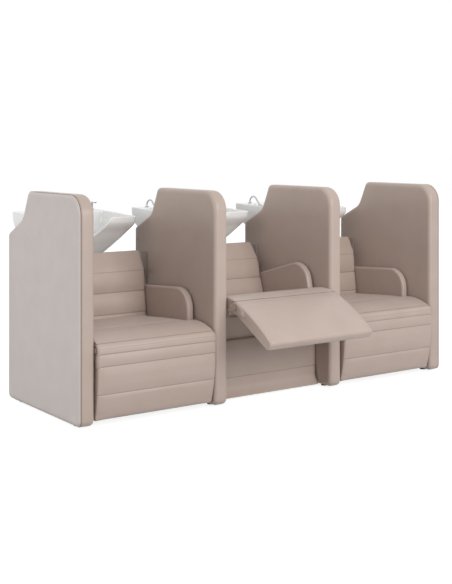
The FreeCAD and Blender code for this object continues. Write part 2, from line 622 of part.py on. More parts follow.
def make_seat_cushion(bay):
    """Cushion between the arms, joined to a full-width nose hollowed out over the leg rest's roll."""
    half = size("cushion_half")
    nose_half = size("leg_half")
    hinge = (size("hinge_y"), size("hinge_z"))
    reach = size("leg_rest_radius") + size("seat_roll_gap")
    bottom = size("pan_top")
    rounding = size("cushion_edge_round")

    def main_outline(x, share):
        inset = edge_inset(share, half, rounding)
        front = size("seat_main_front")
        front_z = size("seat_front_top") - size("seat_step") - inset
        rear_z = size("seat_rear_top") - inset
        crown = (front_z + rear_z) / 2 + size("seat_crown") * (1 - CROWN_FADE_SHARE * share * share)
        rear = size("seat_rear") - inset
        rear_top = (rear - rounding, rear_z)
        bend = rounding * (1 - math.sqrt(0.5))
        return chain(x, (front, bottom), (
            ((front, front_z),),
            (((front + rear_top[0]) / 2, crown), rear_top),
            ((rear - bend, rear_z - bend), (rear, rear_z - rounding)),
            ((rear, bottom),),
            ((front, bottom),)))

    def nose_outline(x, share):
        inset = edge_inset(share, nose_half, rounding)
        top = size("seat_front_top") - inset
        rear = size("seat_nose_rear")
        low_angle = size("seat_roll_low_angle")
        tip_angle = size("nose_tip_angle")
        low = polar(hinge, reach, low_angle)
        tip = polar(hinge, reach, tip_angle)
        between = polar(hinge, reach, (low_angle + tip_angle) / 2)
        tip_depth = size("nose_tip") * (1 - inset / rounding)
        tip_top = polar(hinge, reach + tip_depth, tip_angle + size("nose_tip_turn"))
        return chain(x, low, (
            (between, tip),
            (tip_top,),
            ((size("nose_middle_y"), size("nose_middle_z") - inset), (size("nose_bend_y"), top)),
            ((rear, top),),
            ((rear, bottom),),
            ((size("nose_bottom_front"), bottom),),
            (low,)))

    label = bay + "_seat_cushion"
    shape = cushion_loft(half, main_outline).fuse(cushion_loft(nose_half, nose_outline))
    keep(label, solid(label, shape), seat_pose(bay), bay)


def make_back_cushion(bay):
    half = size("cushion_half")
    rounding = size("cushion_edge_round")
    gap = size("soft_gap")
    bottom = size("pan_top") + gap
    rear = size("back_panel_front") - gap
    bulge = size("back_bulge")
    seams = [(size("back_low_y"), size("back_seam_low_z")),
             (size("back_seam_mid_y"), size("back_seam_mid_z")),
             (size("back_seam_high_y"), size("back_seam_high_z")),
             (size("back_top_y"), size("back_top_z"))]

    def outline(x, share):
        inset = edge_inset(share, half, rounding)
        forward = size("back_crown") * (1 - share * share) - inset
        points = [(y - forward, z) for y, z in seams]
        points[0] = (seams[0][0] + inset, seams[0][1])
        points[-1] = (seams[-1][0] + inset, seams[-1][1] - inset)
        steps = [(points[0],)]
        for (y0, z0), (y1, z1) in zip(points, points[1:]):
            run = math.hypot(y1 - y0, z1 - z0)
            middle = ((y0 + y1) / 2 - bulge * (z1 - z0) / run, (z0 + z1) / 2 + bulge * (y1 - y0) / run)
            steps.append((middle, (y1, z1)))
        steps += [((size("back_top_rear_y"), size("back_top_rear_z") - inset),),
                  ((rear, size("back_panel_bend_z")),),
                  ((rear, bottom),),
                  ((seams[0][0] + inset, bottom),)]
        return chain(x, (seams[0][0] + inset, bottom), steps)

    label = bay + "_back_cushion"
    keep(label, solid(label, cushion_loft(half, outline)), seat_pose(bay), bay)


def make_skirt(bay):
    """Curved sheet about the seat pivot, so that it slides along itself behind the fascia's top edge."""
    pivot = (size("seat_pivot_y"), size("seat_pivot_z"))
    ahead, below = pivot[0] - size("base_front"), pivot[1] - size("fascia_top")
    outer = math.hypot(ahead, below) - size("skirt_gap")
    inner = outer - size("skirt_thickness")
    top = 180 + math.degrees(math.asin((pivot[1] - size("skirt_top_z")) / outer))
    end = 180 + math.degrees(math.atan2(below, ahead)) + size("recline_angle") + size("skirt_overlap_angle")
    half = size("rail_inner") - size("skirt_side_gap")
    middle = (top + end) / 2
    wire = chain(-half, polar(pivot, outer, top), (
        (polar(pivot, outer, middle), polar(pivot, outer, end)),
        (polar(pivot, inner, end),),
        (polar(pivot, inner, middle), polar(pivot, inner, top)),
        (polar(pivot, outer, top),)))
    label = bay + "_front_skirt"
    keep(label, solid(label, Part.Face(wire).extrude(vec(2 * half, 0, 0))), seat_pose(bay), bay)


# Leg rest of a bay, drawn about its hinge axis with the straight part hanging down

def make_leg_rest_board(bay):
    name = bay + "_leg_rest_board"
    front = "leg_rest_thickness - leg_rest_radius"
    top = "hinge_tube_radius + fit_gap + soft_gap"
    half = "leg_half - leg_board_inset"
    pieces = [box(name + "_board", (f"-({half})", half), (front, f"{front} + leg_board_thickness"),
                  ("-leg_board_length", f"-({top})"))]
    for side, start in (("l", f"-({half}) + knuckle_inset"),
                        ("r", f"{half} - knuckle_inset - knuckle_length")):
        pieces.append(rod(f"{name}_knuckle_{side}", "x", "knuckle_radius", (start, "0", "0"),
                          "knuckle_length"))
        pieces.append(box(f"{name}_strap_{side}", (start, f"{start} + knuckle_length"), ("0", front),
                          ("-knuckle_radius", "-knuckle_radius + leg_board_thickness")))
    bore = rod(name + "_bore", "x", "hinge_tube_radius + fit_gap", ("-plate_inner", "0", "0"),
               "2 * plate_inner")
    keep(name, cut(name, fuse(name + "_joined", pieces), bore), leg_rest_pose(bay), bay)


def make_leg_rest_pad(bay):
    """Arched pad with a roll about the hinge at its top and a notch for the knuckles behind the roll."""
    half = size("leg_half")
    radius = size("leg_rest_radius")
    back = size("leg_rest_thickness") - radius
    hollow = size("knuckle_radius") + size("knuckle_gap")
    notch = size("knuckle_radius") + size("leg_notch_gap")
    rounding = size("leg_rest_edge_round")
    axis = (0.0, 0.0)
    start, stop = size("roll_start_angle"), size("roll_end_angle")
    seams = []
    if bay not in RECLINED:
        seams = [size("leg_seam_first"), size("leg_seam_second"), size("leg_seam_third")]

    def outline(x, share):
        inset = edge_inset(share, half, rounding)
        outer = radius - min(inset, (radius - hollow) / 2)
        end = size("leg_rest_length") - inset
        straight = end - rounding

        def front(drop):
            """Front face at a drop under the hinge: a parabola over the straight part."""
            along = drop / straight
            return -radius + inset - size("leg_rest_arch") * 4 * along * (1 - along), -drop

        steps = [(polar(axis, outer, start),),
                 (polar(axis, outer, (start + stop) / 2), polar(axis, outer, stop))]
        last = 0.0
        for seam in seams:
            y, z = front(seam)
            steps.append((front((last + seam) / 2), (y + size("seam_depth"), z)))
            last = seam
        steps.append((front((last + straight) / 2), front(straight)))
        edge = front(straight)[0]
        turned = rounding * (1 - math.sqrt(0.5))
        steps += [((edge + turned, -end + turned), (edge + rounding, -end)),
                  ((back, -end),),
                  ((back, -notch),),
                  ((-hollow, -notch),),
                  ((-hollow, 0.0),),
                  (polar(axis, hollow, (start + 180) / 2), polar(axis, hollow, start))]
        return chain(x, polar(axis, hollow, start), steps)

    label = bay + "_leg_rest_pad"
    keep(label, solid(label, cushion_loft(half, outline)), leg_rest_pose(bay), bay)


# Lift actuator of a bay, drawn along +Z from its foot pivot

def make_actuator(bay):
    foot, head = actuator_ends(bay)
    reach = (head - foot).Length
    name = bay + "_actuator_body"
    eye = "actuator_eye_radius"
    pieces = [rod(name + "_tube", "z", "actuator_radius", ("0", "0", "actuator_body_start"),
                  "actuator_body_length"),
              rod(name + "_eye", "x", eye, (f"-{eye}", "0", "0"), f"2 * {eye}"),
              box(name + "_neck", (f"-{eye}", eye), (f"-{eye} / 2", f"{eye} / 2"),
                  ("0", "actuator_body_start + fork_gap")),
              rod(name + "_motor", "z", "motor_radius", ("0", "motor_offset", "actuator_body_start"),
                  "motor_length"),
              box(name + "_gearbox", ("-actuator_radius", "actuator_radius"), ("0", "motor_offset"),
                  ("actuator_body_start", "actuator_body_start + actuator_radius"))]
    hollows = [rod(name + "_bore", "z", "actuator_bore_radius",
                   ("0", "0", "actuator_body_start + actuator_radius"), "actuator_body_length"),
               rod(name + "_eye_bore", "x", "actuator_pin_radius + fit_gap",
                   (f"-{eye} - cut_overrun", "0", "0"), f"2 * ({eye} + cut_overrun)")]
    keep(name, cut(name, fuse(name + "_joined", pieces), fuse(name + "_hollows", hollows)),
         actuator_pose(bay, 0), bay)

    name = bay + "_actuator_rod"
    cheek_in = "lug_half_width + fork_gap"
    cheek_out = f"{cheek_in} + fork_cheek"
    deep = ("-fork_half_depth", "fork_half_depth")
    pieces = [rod(name + "_bar", "z", "actuator_rod_radius", ("0", "0", "-actuator_rod_length"),
                  "actuator_rod_length - fork_length + fork_cheek"),
              box(name + "_bridge", (f"-({cheek_out})", cheek_out), deep,
                  ("-fork_length", "-fork_length + fork_cheek + fork_gap")),
              box(name + "_cheek_l", (f"-({cheek_out})", f"-({cheek_in})"), deep,
                  ("-fork_length", "fork_half_depth")),
              box(name + "_cheek_r", (cheek_in, cheek_out), deep, ("-fork_length", "fork_half_depth")),
              rod(name + "_pin", "x", "actuator_pin_radius", (f"-({cheek_out})", "0", "0"),
                  f"2 * ({cheek_out})")]
    keep(name, fuse(name, pieces), actuator_pose(bay, reach), bay)


# Basin, cradle, waste, tap and hand spray of a bay

def rounded_quad(front, rear, half_front, half_rear, radius, height, slope):
    """Rounded four-sided outline in plan, on a plane that climbs towards the rear."""
    corners = [vec(-half_front, front, 0), vec(half_front, front, 0),
               vec(half_rear, rear, 0), vec(-half_rear, rear, 0)]
    edges = []
    ends = []
    for index, corner in enumerate(corners):
        back = (corners[index - 1] - corner).normalize()
        on = (corners[(index + 1) % 4] - corner).normalize()
        half_turn = back.getAngle(on) / 2
        away = radius / math.tan(half_turn)
        centre = corner + (back + on).normalize() * (radius / math.sin(half_turn))
        middle = centre + (corner - centre).normalize() * radius
        ends.append((corner + back * away, middle, corner + on * away))
    for index, (enter, middle, leave) in enumerate(ends):
        edges.append(Part.Arc(enter, middle, leave).toShape())
        edges.append(Part.LineSegment(leave, ends[(index + 1) % 4][0]).toShape())
    wire = Part.Wire(edges)
    wire.rotate(vec(0, front, 0), vec(1, 0, 0), math.degrees(math.atan(slope)))
    wire.translate(vec(0, 0, height))
    return wire


def basin_section(shares, wall, rim_lift=0.0):
    """One plan section of the basin: the outer one, or the inner one a wall's thickness inside it."""
    drop, front, rear, half_front, half_rear, rounding = shares
    length = size("basin_length")
    half = size("basin_width") / 2
    edge_front = size("basin_front") + front * length + wall
    edge_rear = size("basin_front") + rear * length - wall
    if wall:
        edge_rear = min(edge_rear, size("deck_front"))
    slope = size("basin_slope") * (1 - drop)
    depth = drop * (size("basin_drop") - wall) - rim_lift
    height = size("basin_rim_front_z") + slope * (edge_front - size("basin_front")) - depth
    return rounded_quad(edge_front, edge_rear, half_front * half - wall, half_rear * half - wall,
                        rounding * half, height, slope)


def make_basin(bay):
    wall = size("basin_wall")
    overrun = size("cut_overrun")
    outer = Part.makeLoft([basin_section(row, 0.0) for row in BASIN_SECTION_SHARES], True, True)
    rows = (BASIN_SECTION_SHARES[0],) + BASIN_SECTION_SHARES[2:]
    mouth = [basin_section(rows[0], wall, overrun)]
    bowl = Part.makeLoft(mouth + [basin_section(row, wall) for row in rows[1:]], True, True)
    front = size("basin_front")
    half = size("neck_half_width")
    low = size("basin_rim_front_z") - size("neck_depth")
    top = size("basin_rim_rear_z") + overrun
    reach = size("basin_length") / 2
    neck_face = Part.Face(Part.Wire([
        Part.LineSegment(vec(half, front - overrun, top), vec(half, front - overrun, low + half)).toShape(),
        Part.Arc(vec(half, front - overrun, low + half), vec(0, front - overrun, low),
                 vec(-half, front - overrun, low + half)).toShape(),
        Part.LineSegment(vec(-half, front - overrun, low + half), vec(-half, front - overrun, top)).toShape(),
        Part.LineSegment(vec(-half, front - overrun, top), vec(half, front - overrun, top)).toShape()]))
    neck = neck_face.extrude(vec(0, reach, 0))
    deck = size("mixer_seat_z")
    under_half = size("basin_width") / 2 - 2 * wall
    under = Part.makeBox(2 * under_half, size("basin_deck_length") - 3 * wall, size("basin_drop"),
                         vec(-under_half, size("deck_front") + 2 * wall,
                             deck - size("basin_deck_thickness") - size("basin_drop")))
    drain = Part.makeCylinder(size("waste_hole_radius"), size("basin_drop"),
                              vec(0, size("basin_pivot_y"), size("basin_bottom") - overrun))
    down = vec(0, 0, -1)
    above = deck + size("basin_deck_thickness")
    long_hole = 3 * size("basin_deck_thickness")
    tap_hole = Part.makeCylinder(size("mixer_shank_radius") + size("fit_gap"), long_hole,
                                 vec(size("mixer_x"), size("mixer_y"), above), down)
    spray_hole = Part.makeCylinder(size("spray_radius") + size("soft_gap"), long_hole,
                                   vec(size("spray_x"), size("spray_y"), above), down)
    shape = outer.cut([bowl, neck, under, drain, tap_hole, spray_hole])
    label = bay + "_basin"
    keep(label, solid(label, shape), FreeCAD.Placement(), bay)


def make_basin_cradle(bay):
    name = bay + "_basin_cradle"
    half = "cradle_half_width"
    low = "basin_bottom - cradle_plate_thickness"
    pieces = [box(name + "_plate", (f"-{half}", half),
                  ("basin_pivot_y - cradle_half_depth", "basin_pivot_y + cradle_half_depth"),
                  (low, "basin_bottom"))]
    ear = ("basin_pivot_y - cradle_ear_half_depth", "basin_pivot_y + cradle_ear_half_depth")
    below = "basin_pivot_z - cradle_ear_half_depth"
    for side, (x0, x1), stud in (("l", (f"-{half}", f"-{half} + column_wall"), "-column_half_width"),
                                 ("r", (f"{half} - column_wall", half), half)):
        pieces.append(box(f"{name}_ear_{side}", (x0, x1), ear, (below, low)))
        pieces.append(rod(f"{name}_stud_{side}", "x", "cradle_stud_radius",
                          (stud, "basin_pivot_y", "basin_pivot_z"), f"column_half_width - {half}"))
    hole = rod(name + "_hole", "z", "waste_hole_radius", ("0", "basin_pivot_y", f"{low} - cut_overrun"),
               "cradle_plate_thickness + 2 * cut_overrun")
    keep(name, cut(name, fuse(name + "_welded", pieces), hole), bay=bay)


def make_waste(bay):
    """Flanged waste in the bowl's floor, its nut under the cradle and the tail for a drain hose."""
    name = bay + "_basin_waste"
    floor = "basin_bottom + basin_wall"
    pieces = [rod(name + "_flange", "z", "waste_flange_radius", ("0", "basin_pivot_y", floor),
                  "waste_flange_thickness"),
              rod(name + "_tail", "z", "waste_tail_radius", ("0", "basin_pivot_y", "waste_tail_end_z"),
                  f"{floor} - waste_tail_end_z"),
              rod(name + "_nut", "z", "waste_nut_radius",
                  ("0", "basin_pivot_y", "basin_bottom - cradle_plate_thickness - waste_nut_height"),
                  "waste_nut_height")]
    bore = rod(name + "_bore", "z", "waste_tail_radius - waste_flange_thickness",
               ("0", "basin_pivot_y", "waste_tail_end_z - cut_overrun"), "basin_drop")
    keep(name, cut(name, fuse(name + "_joined", pieces), bore), bay=bay)


def make_mixer(bay):
    name = bay + "_mixer_body"
    at = ("mixer_x", "mixer_y")
    pieces = [rod(name + "_base", "z", "mixer_base_radius", at + ("mixer_base_z",), "mixer_base_height"),
              rod(name + "_barrel", "z", "mixer_radius", at + ("mixer_base_z",), "mixer_height"),
              rod(name + "_shank", "z", "mixer_shank_radius", at + ("mixer_seat_z - mixer_shank_length",),
                  "mixer_shank_length + mixer_base_height")]
    keep(name, fuse(name, pieces), bay=bay)

    name = bay + "_mixer_lever"
    top = "mixer_base_z + mixer_height + soft_gap"
    pieces = [rod(name + "_hub", "z", "mixer_radius", at + (top,), "lever_hub_height"),
              box(name + "_bar", ("mixer_x - lever_width / 2", "mixer_x + lever_width / 2"),
                  ("mixer_y - lever_length", "mixer_y"),
                  (f"{top} + lever_hub_height - lever_thickness", f"{top} + lever_hub_height"))]
    keep(name, fuse(name, pieces), bay=bay)


def make_hand_spray(bay):
    """Hooked spray pipe that stands in a hole of the rear deck and lifts out."""
    radius = size("spray_radius")
    bend = size("spray_bend_radius")
    x, y, z = size("spray_x"), size("spray_y"), size("spray_base_z")
    low = vec(x, y, z - size("spray_stem_length"))
    start = vec(x, y, z + size("spray_collar_height"))

    def on_bend(angle):
        turn = math.radians(angle)
        return start + vec(0, bend * (math.cos(turn) - 1), bend * math.sin(turn))

    angle = size("spray_bend_angle")
    leave = on_bend(angle)
    turn = math.radians(angle)
    ahead = vec(0, -math.sin(turn), math.cos(turn))
    tip = leave + ahead * size("spray_reach")
    path = Part.Wire([Part.LineSegment(low, start).toShape(),
                      Part.Arc(start, on_bend(angle / 2), leave).toShape(),
                      Part.LineSegment(leave, tip).toShape()])
    ring = Part.Wire([Part.Circle(low, vec(0, 0, 1), radius).toShape()])
    tube = path.makePipeShell([ring], True, True)
    collar = Part.makeCylinder(size("spray_collar_radius"), size("spray_collar_height"), vec(x, y, z))
    head = Part.makeCone(radius, size("spray_head_radius"), size("spray_head_length"),
                         tip - ahead * radius, ahead)
    label = bay + "_hand_spray"
    keep(label, solid(label, tube.fuse([collar, head]).removeSplitter()), FreeCAD.Placement(), bay)


def build():
    for label, index in PANEL_SHARES.items():
        make_panel(label, index)
    facings = [make_facing("left_facing", -1), make_facing("right_facing", 1)]
    keep("end_facings", group("end_facings", facings))
    make_feet()
    for bay in BAY_SHARES:
        make_base_frame(bay)
        make_fascia(bay)
        make_seat_frame(bay)
        make_seat_cushion(bay)
        make_back_cushion(bay)
        make_arm(bay, "left")
        make_arm(bay, "right")
        make_skirt(bay)
        make_leg_rest_board(bay)
        make_leg_rest_pad(bay)
        make_actuator(bay)
        make_basin(bay)
        make_basin_cradle(bay)
        make_waste(bay)
        make_mixer(bay)
        make_hand_spray(bay)
    doc.recompute()


def write():
    for obj in doc.Objects:
        assert "Invalid" not in obj.State and "Error" not in obj.State, f"{obj.Name}: {obj.State}"
    faulty = [label for label, obj in nodes.items()
              if obj.Shape.isNull() or not obj.Shape.isValid() or not obj.Shape.Solids]
    assert not faulty, f"not valid solids: {faulty}"
    os.makedirs("parts", exist_ok=True)
    for label, obj in nodes.items():
        obj.Shape.exportStep(f"parts/{label}.step")
    print(len(nodes), "nodes written")


build()
write()
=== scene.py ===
import bpy
import json
import math
import numpy as np
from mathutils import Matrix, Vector


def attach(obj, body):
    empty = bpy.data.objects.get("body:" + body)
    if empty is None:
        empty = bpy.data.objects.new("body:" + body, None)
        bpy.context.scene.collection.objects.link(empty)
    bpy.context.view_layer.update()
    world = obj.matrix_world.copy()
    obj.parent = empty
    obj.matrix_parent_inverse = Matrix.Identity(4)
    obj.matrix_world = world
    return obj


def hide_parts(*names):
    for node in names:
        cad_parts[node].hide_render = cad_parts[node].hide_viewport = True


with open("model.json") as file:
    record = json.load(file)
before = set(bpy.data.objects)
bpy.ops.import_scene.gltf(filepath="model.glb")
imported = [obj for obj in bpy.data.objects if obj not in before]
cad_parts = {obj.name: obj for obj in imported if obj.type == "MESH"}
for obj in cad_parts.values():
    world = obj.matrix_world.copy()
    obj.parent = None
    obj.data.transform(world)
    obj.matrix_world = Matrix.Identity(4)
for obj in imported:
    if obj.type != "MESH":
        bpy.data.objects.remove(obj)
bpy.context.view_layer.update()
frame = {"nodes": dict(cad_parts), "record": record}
print("frame loaded:", len(frame["nodes"]), "nodes")

# sizes in metres, y counted back from the panels' front edges, z up from the floor, x from the bay's middle
unit = dict(pitch=0.850, depth=0.890, pivot=(0.765, 0.800), hinge=(0.013, 0.403),
            tilt=math.radians(11.6), legTurn=math.radians(11.6 * 4.733), legLean=math.radians(5.5))
bays = {"left": dict(index=-1, reclined=False), "middle": dict(index=0, reclined=True),
        "right": dict(index=1, reclined=False)}


# small geometry helpers (arrays only)

def turnX(points, centre, angle):  # turns points about a line along X through centre (y, z)
    out = np.array(points, dtype=float)
    y, z = out[:, 1] - centre[0], out[:, 2] - centre[1]
    out[:, 1] = centre[0] + y * math.cos(angle) - z * math.sin(angle)
    out[:, 2] = centre[1] + y * math.sin(angle) + z * math.cos(angle)
    return out


def toRow(points, bay):  # from the bay's own zero to the row's zero
    return points + np.array([bays[bay]["index"] * unit["pitch"], -unit["depth"] / 2, 0.0])


def seatToRow(points, bay):  # pieces of the seat tip back with it where it is reclined
    if bays[bay]["reclined"]:
        points = turnX(points, unit["pivot"], -unit["tilt"])
    return toRow(points, bay)


def legToRow(points, bay):  # leg rest pieces are drawn about the hinge, hanging straight down
    angle = unit["legLean"] - (unit["legTurn"] if bays[bay]["reclined"] else 0.0)
    hung = turnX(points, (0.0, 0.0), angle) + np.array([0.0, *unit["hinge"]])
    return seatToRow(hung, bay)


def arcThrough(a, b, c, count):  # points of the circle through a, b and c, from a to c
    a, b, c = (np.array(p, dtype=float) for p in (a, b, c))
    m = 2 * np.array([b - a, c - a])
    centre = np.linalg.solve(m, np.array([b @ b - a @ a, c @ c - a @ a]))
    angles = np.unwrap([math.atan2(*(p - centre)[::-1]) for p in (a, b, c)])
    turn = np.linspace(angles[0], angles[2], count)
    radius = np.linalg.norm(a - centre)
    return centre + radius * np.stack([np.cos(turn), np.sin(turn)], axis=1)


def lineTo(a, b, count):
    return np.linspace(a, b, count)


def onRing(radius, degrees):  # point of a circle about zero, the angle counted from the rear upwards
    return np.array([radius * math.cos(math.radians(degrees)), radius * math.sin(math.radians(degrees))])


def joinPath(runs):  # runs share their end points, so each leaves out its last
    return np.concatenate([run[:-1] for run in runs])


def cornerTurns(corners, radii):  # where the arc at each corner of a closed loop starts, is half-way and ends
    corners, radii = np.array(corners, dtype=float), np.array(radii, dtype=float)[:, None]
    back = np.roll(corners, 1, axis=0) - corners
    on = np.roll(corners, -1, axis=0) - corners
    back /= np.linalg.norm(back, axis=1)[:, None]
    on /= np.linalg.norm(on, axis=1)[:, None]
    half = np.arccos(np.clip((back * on).sum(axis=1), -1, 1))[:, None] / 2
    bisect = (back + on) / np.linalg.norm(back + on, axis=1)[:, None]
    away = radii / np.tan(half)
    return corners + back * away, corners + bisect * (radii / np.sin(half) - radii), corners + on * away


def roundedOutline(corners, radii, cornerPoints=9, step=0.03):  # closed outline, each corner an arc
    starts, middles, ends = cornerTurns(corners, radii)
    runs = []
    for start, middle, end, follow in zip(starts, middles, ends, np.roll(starts, -1, axis=0)):
        runs.append(arcThrough(start, middle, end, cornerPoints))
        runs.append(lineTo(end, follow, max(2, int(np.linalg.norm(follow - end) / step) + 1)))
    return joinPath(runs)


def outlineNormals(loop):  # outward unit normals of a closed loop in its own plane
    along = np.roll(loop, -1, axis=0) - np.roll(loop, 1, axis=0)
    normal = np.stack([along[:, 1], -along[:, 0]], axis=1)
    normal /= np.linalg.norm(normal, axis=1)[:, None]
    area = 0.5 * np.sum(loop[:, 0] * np.roll(loop[:, 1], -1) - np.roll(loop[:, 0], -1) * loop[:, 1])
    return normal if area > 0 else -normal


def ringFaces(rings, count):  # quads between rings of count points each, closed around
    i, j = np.meshgrid(np.arange(rings - 1), np.arange(count), indexing="ij")
    k = (j + 1) % count
    low, high = i * count, (i + 1) * count
    return np.stack([low + j, low + k, high + k, high + j], axis=-1).reshape(-1, 4)


def closeEnds(points, faces, rings, count):  # one point in the middle of the first and of the last ring
    ends = np.stack([points[:count].mean(axis=0), points[-count:].mean(axis=0)])
    first, last = len(points), len(points) + 1
    j = np.arange(count)
    k = (j + 1) % count
    low = np.stack([k, j, np.full(count, first)], axis=1)
    base = (rings - 1) * count
    high = np.stack([base + j, base + k, np.full(count, last)], axis=1)
    return np.concatenate([points, ends]), [f.tolist() for f in (faces, low, high)]


def makeMesh(name, points, faceLists, shades=None):  # turned the right way out by the sign of its volume
    mesh = bpy.data.meshes.new(name)
    faces = [f for group in faceLists for f in group]
    mesh.from_pydata(points.tolist(), [], faces)
    mesh.update()
    mesh.calc_loop_triangles()
    tri = np.empty(len(mesh.loop_triangles) * 3, dtype=np.int32)
    mesh.loop_triangles.foreach_get("vertices", tri)
    corner = points[tri.reshape(-1, 3)]
    signed = np.einsum("ij,ij->i", corner[:, 0], np.cross(corner[:, 1], corner[:, 2])).sum()
    if signed < 0:
        mesh.flip_normals()
    mesh.polygons.foreach_set("use_smooth", np.ones(len(mesh.polygons), dtype=bool))
    if shades is not None:
        # the seam attribute carries the painted shade of the sewn grooves
        layer = mesh.attributes.new("seamPaintedShade", "FLOAT", "POINT")
        layer.data.foreach_set("value", np.asarray(shades, dtype=np.float32))
    obj = bpy.data.objects.new(name, mesh)
    bpy.context.collection.objects.link(obj)
    return obj


def finishPiece(obj, material, body, node=None, smooth=1):
    obj.data.materials.append(material)
    if smooth:
        mod = obj.modifiers.new("smooth", "SUBSURF")
        mod.levels = smooth
        mod.render_levels = smooth
    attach(obj, body)
    if node:
        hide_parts(node)
    return obj


# materials

def newMaterial(name, colour, roughness, metallic=0.0):
    mat = bpy.data.materials.new(name)
    mat.use_nodes = True
    shader = mat.node_tree.nodes["Principled BSDF"]
    shader.inputs["Base Color"].default_value = (*colour, 1.0)
    shader.inputs["Roughness"].default_value = roughness
    shader.inputs["Metallic"].default_value = metallic
    return mat, mat.node_tree.nodes, mat.node_tree.links, shader


def noiseNode(nodes, links, coords, scale, detail=3.0):
    node = nodes.new("ShaderNodeTexNoise")
    node.inputs["Scale"].default_value = scale
    node.inputs["Detail"].default_value = detail
    links.new(coords, node.inputs["Vector"])
    return node.outputs["Fac"]


def rangeNode(nodes, links, value, low, high, fromLow=0.3, fromHigh=0.7):
    node = nodes.new("ShaderNodeMapRange")
    for key, number in (("From Min", fromLow), ("From Max", fromHigh), ("To Min", low), ("To Max", high)):
        node.inputs[key].default_value = number
    links.new(value, node.inputs["Value"])
    return node.outputs["Result"]


def mixColours(nodes, links, factor, first, second):
    node = nodes.new("ShaderNodeMix")
    node.data_type = "RGBA"
    for socket, value in ((node.inputs[6], first), (node.inputs[7], second)):
        if isinstance(value, tuple):
            socket.default_value = (*value, 1.0)
        else:
            links.new(value, socket)
    links.new(factor, node.inputs[0])
    return node.outputs[2]


def bumpNode(nodes, links, height, strength, distance, before=None):
    node = nodes.new("ShaderNodeBump")
    node.inputs["Strength"].default_value = strength
    node.inputs["Distance"].default_value = distance
    links.new(height, node.inputs["Height"])
    if before is not None:
        links.new(before, node.inputs["Normal"])
    return node.outputs["Normal"]


def linear(r, g, b):  # 0 to 255 picture values to linear light
    return tuple(((c / 255 + 0.055) / 1.055) ** 2.4 if c > 10 else c / 3294.6 for c in (r, g, b))


# seam is the colour of the painted shade in the sewn grooves
leatherLook = dict(colour=(177, 159, 148), pale=(182, 164, 154), seam=(112, 95, 86), roughness=0.43,
                   pores=1500.0)


def leatherMaterial(look):  # taupe faux leather: pebbled grain, soft cloudy tone, painted shade in the sewn lines
    mat, nodes, links, shader = newMaterial("taupeLeather", linear(*look["colour"]), look["roughness"])
    coords = nodes.new("ShaderNodeTexCoord").outputs["Object"]
    cloud = rangeNode(nodes, links, noiseNode(nodes, links, coords, 7.0), 0.0, 1.0)
    tone = mixColours(nodes, links, cloud, linear(*look["colour"]), linear(*look["pale"]))
    # painted shade: the seam attribute darkens the sewn grooves towards the seam colour
    seam = nodes.new("ShaderNodeAttribute")
    seam.attribute_name = "seamPaintedShade"
    tone = mixColours(nodes, links, seam.outputs["Fac"], tone, linear(*look["seam"]))
    links.new(tone, shader.inputs["Base Color"])
    grain = nodes.new("ShaderNodeTexVoronoi")
    grain.inputs["Scale"].default_value = look["pores"] / 3
    links.new(coords, grain.inputs["Vector"])
    pebble = bumpNode(nodes, links, grain.outputs["Distance"], 0.12, 0.0006)
    fine = noiseNode(nodes, links, coords, look["pores"])
    links.new(bumpNode(nodes, links, fine, 0.08, 0.0004, pebble), shader.inputs["Normal"])
    rough = rangeNode(nodes, links, noiseNode(nodes, links, coords, 40.0), look["roughness"] - 0.05,
                      look["roughness"] + 0.06)
    links.new(rough, shader.inputs["Roughness"])
    shader.inputs["Sheen Weight"].default_value = 0.12
    shader.inputs["Sheen Roughness"].default_value = 0.5
    shader.inputs["Specular IOR Level"].default_value = 0.55
    return mat


# seam is the colour of the painted shade along the sewn line
facingLook = dict(colour=(200, 191, 187), thread=(190, 181, 177), seam=(126, 111, 103), weave=420.0)


def facingMaterial(look):  # greige woven facing: two crossed wave patterns make the weave; painted shade along the sewn line
    mat, nodes, links, shader = newMaterial("greigeFacing", linear(*look["colour"]), 0.75)
    coords = nodes.new("ShaderNodeTexCoord").outputs["Object"]
    waves = []
    for direction in ("Y", "Z"):
        wave = nodes.new("ShaderNodeTexWave")
        wave.bands_direction = direction
        wave.inputs["Scale"].default_value = look["weave"]
        wave.inputs["Distortion"].default_value = 0.6
        links.new(coords, wave.inputs["Vector"])
        waves.append(wave.outputs["Fac"])
    both = nodes.new("ShaderNodeMath")
    both.operation = "MULTIPLY"
    links.new(waves[0], both.inputs[0])
    links.new(waves[1], both.inputs[1])
    cloud = noiseNode(nodes, links, coords, 9.0)
    tone = mixColours(nodes, links, rangeNode(nodes, links, cloud, 0.0, 0.5), linear(*look["colour"]),
                      linear(*look["thread"]))
    tone = mixColours(nodes, links, rangeNode(nodes, links, both.outputs[0], 0.0, 0.35, 0.0, 1.0), tone,
                      linear(*look["thread"]))
    # painted shade: the seam attribute darkens the sewn line towards the seam colour
    seam = nodes.new("ShaderNodeAttribute")
    seam.attribute_name = "seamPaintedShade"
    tone = mixColours(nodes, links, seam.outputs["Fac"], tone, linear(*look["seam"]))
    links.new(tone, shader.inputs["Base Color"])
    links.new(bumpNode(nodes, links, both.outputs[0], 0.15, 0.0005), shader.inputs["Normal"])
    return mat


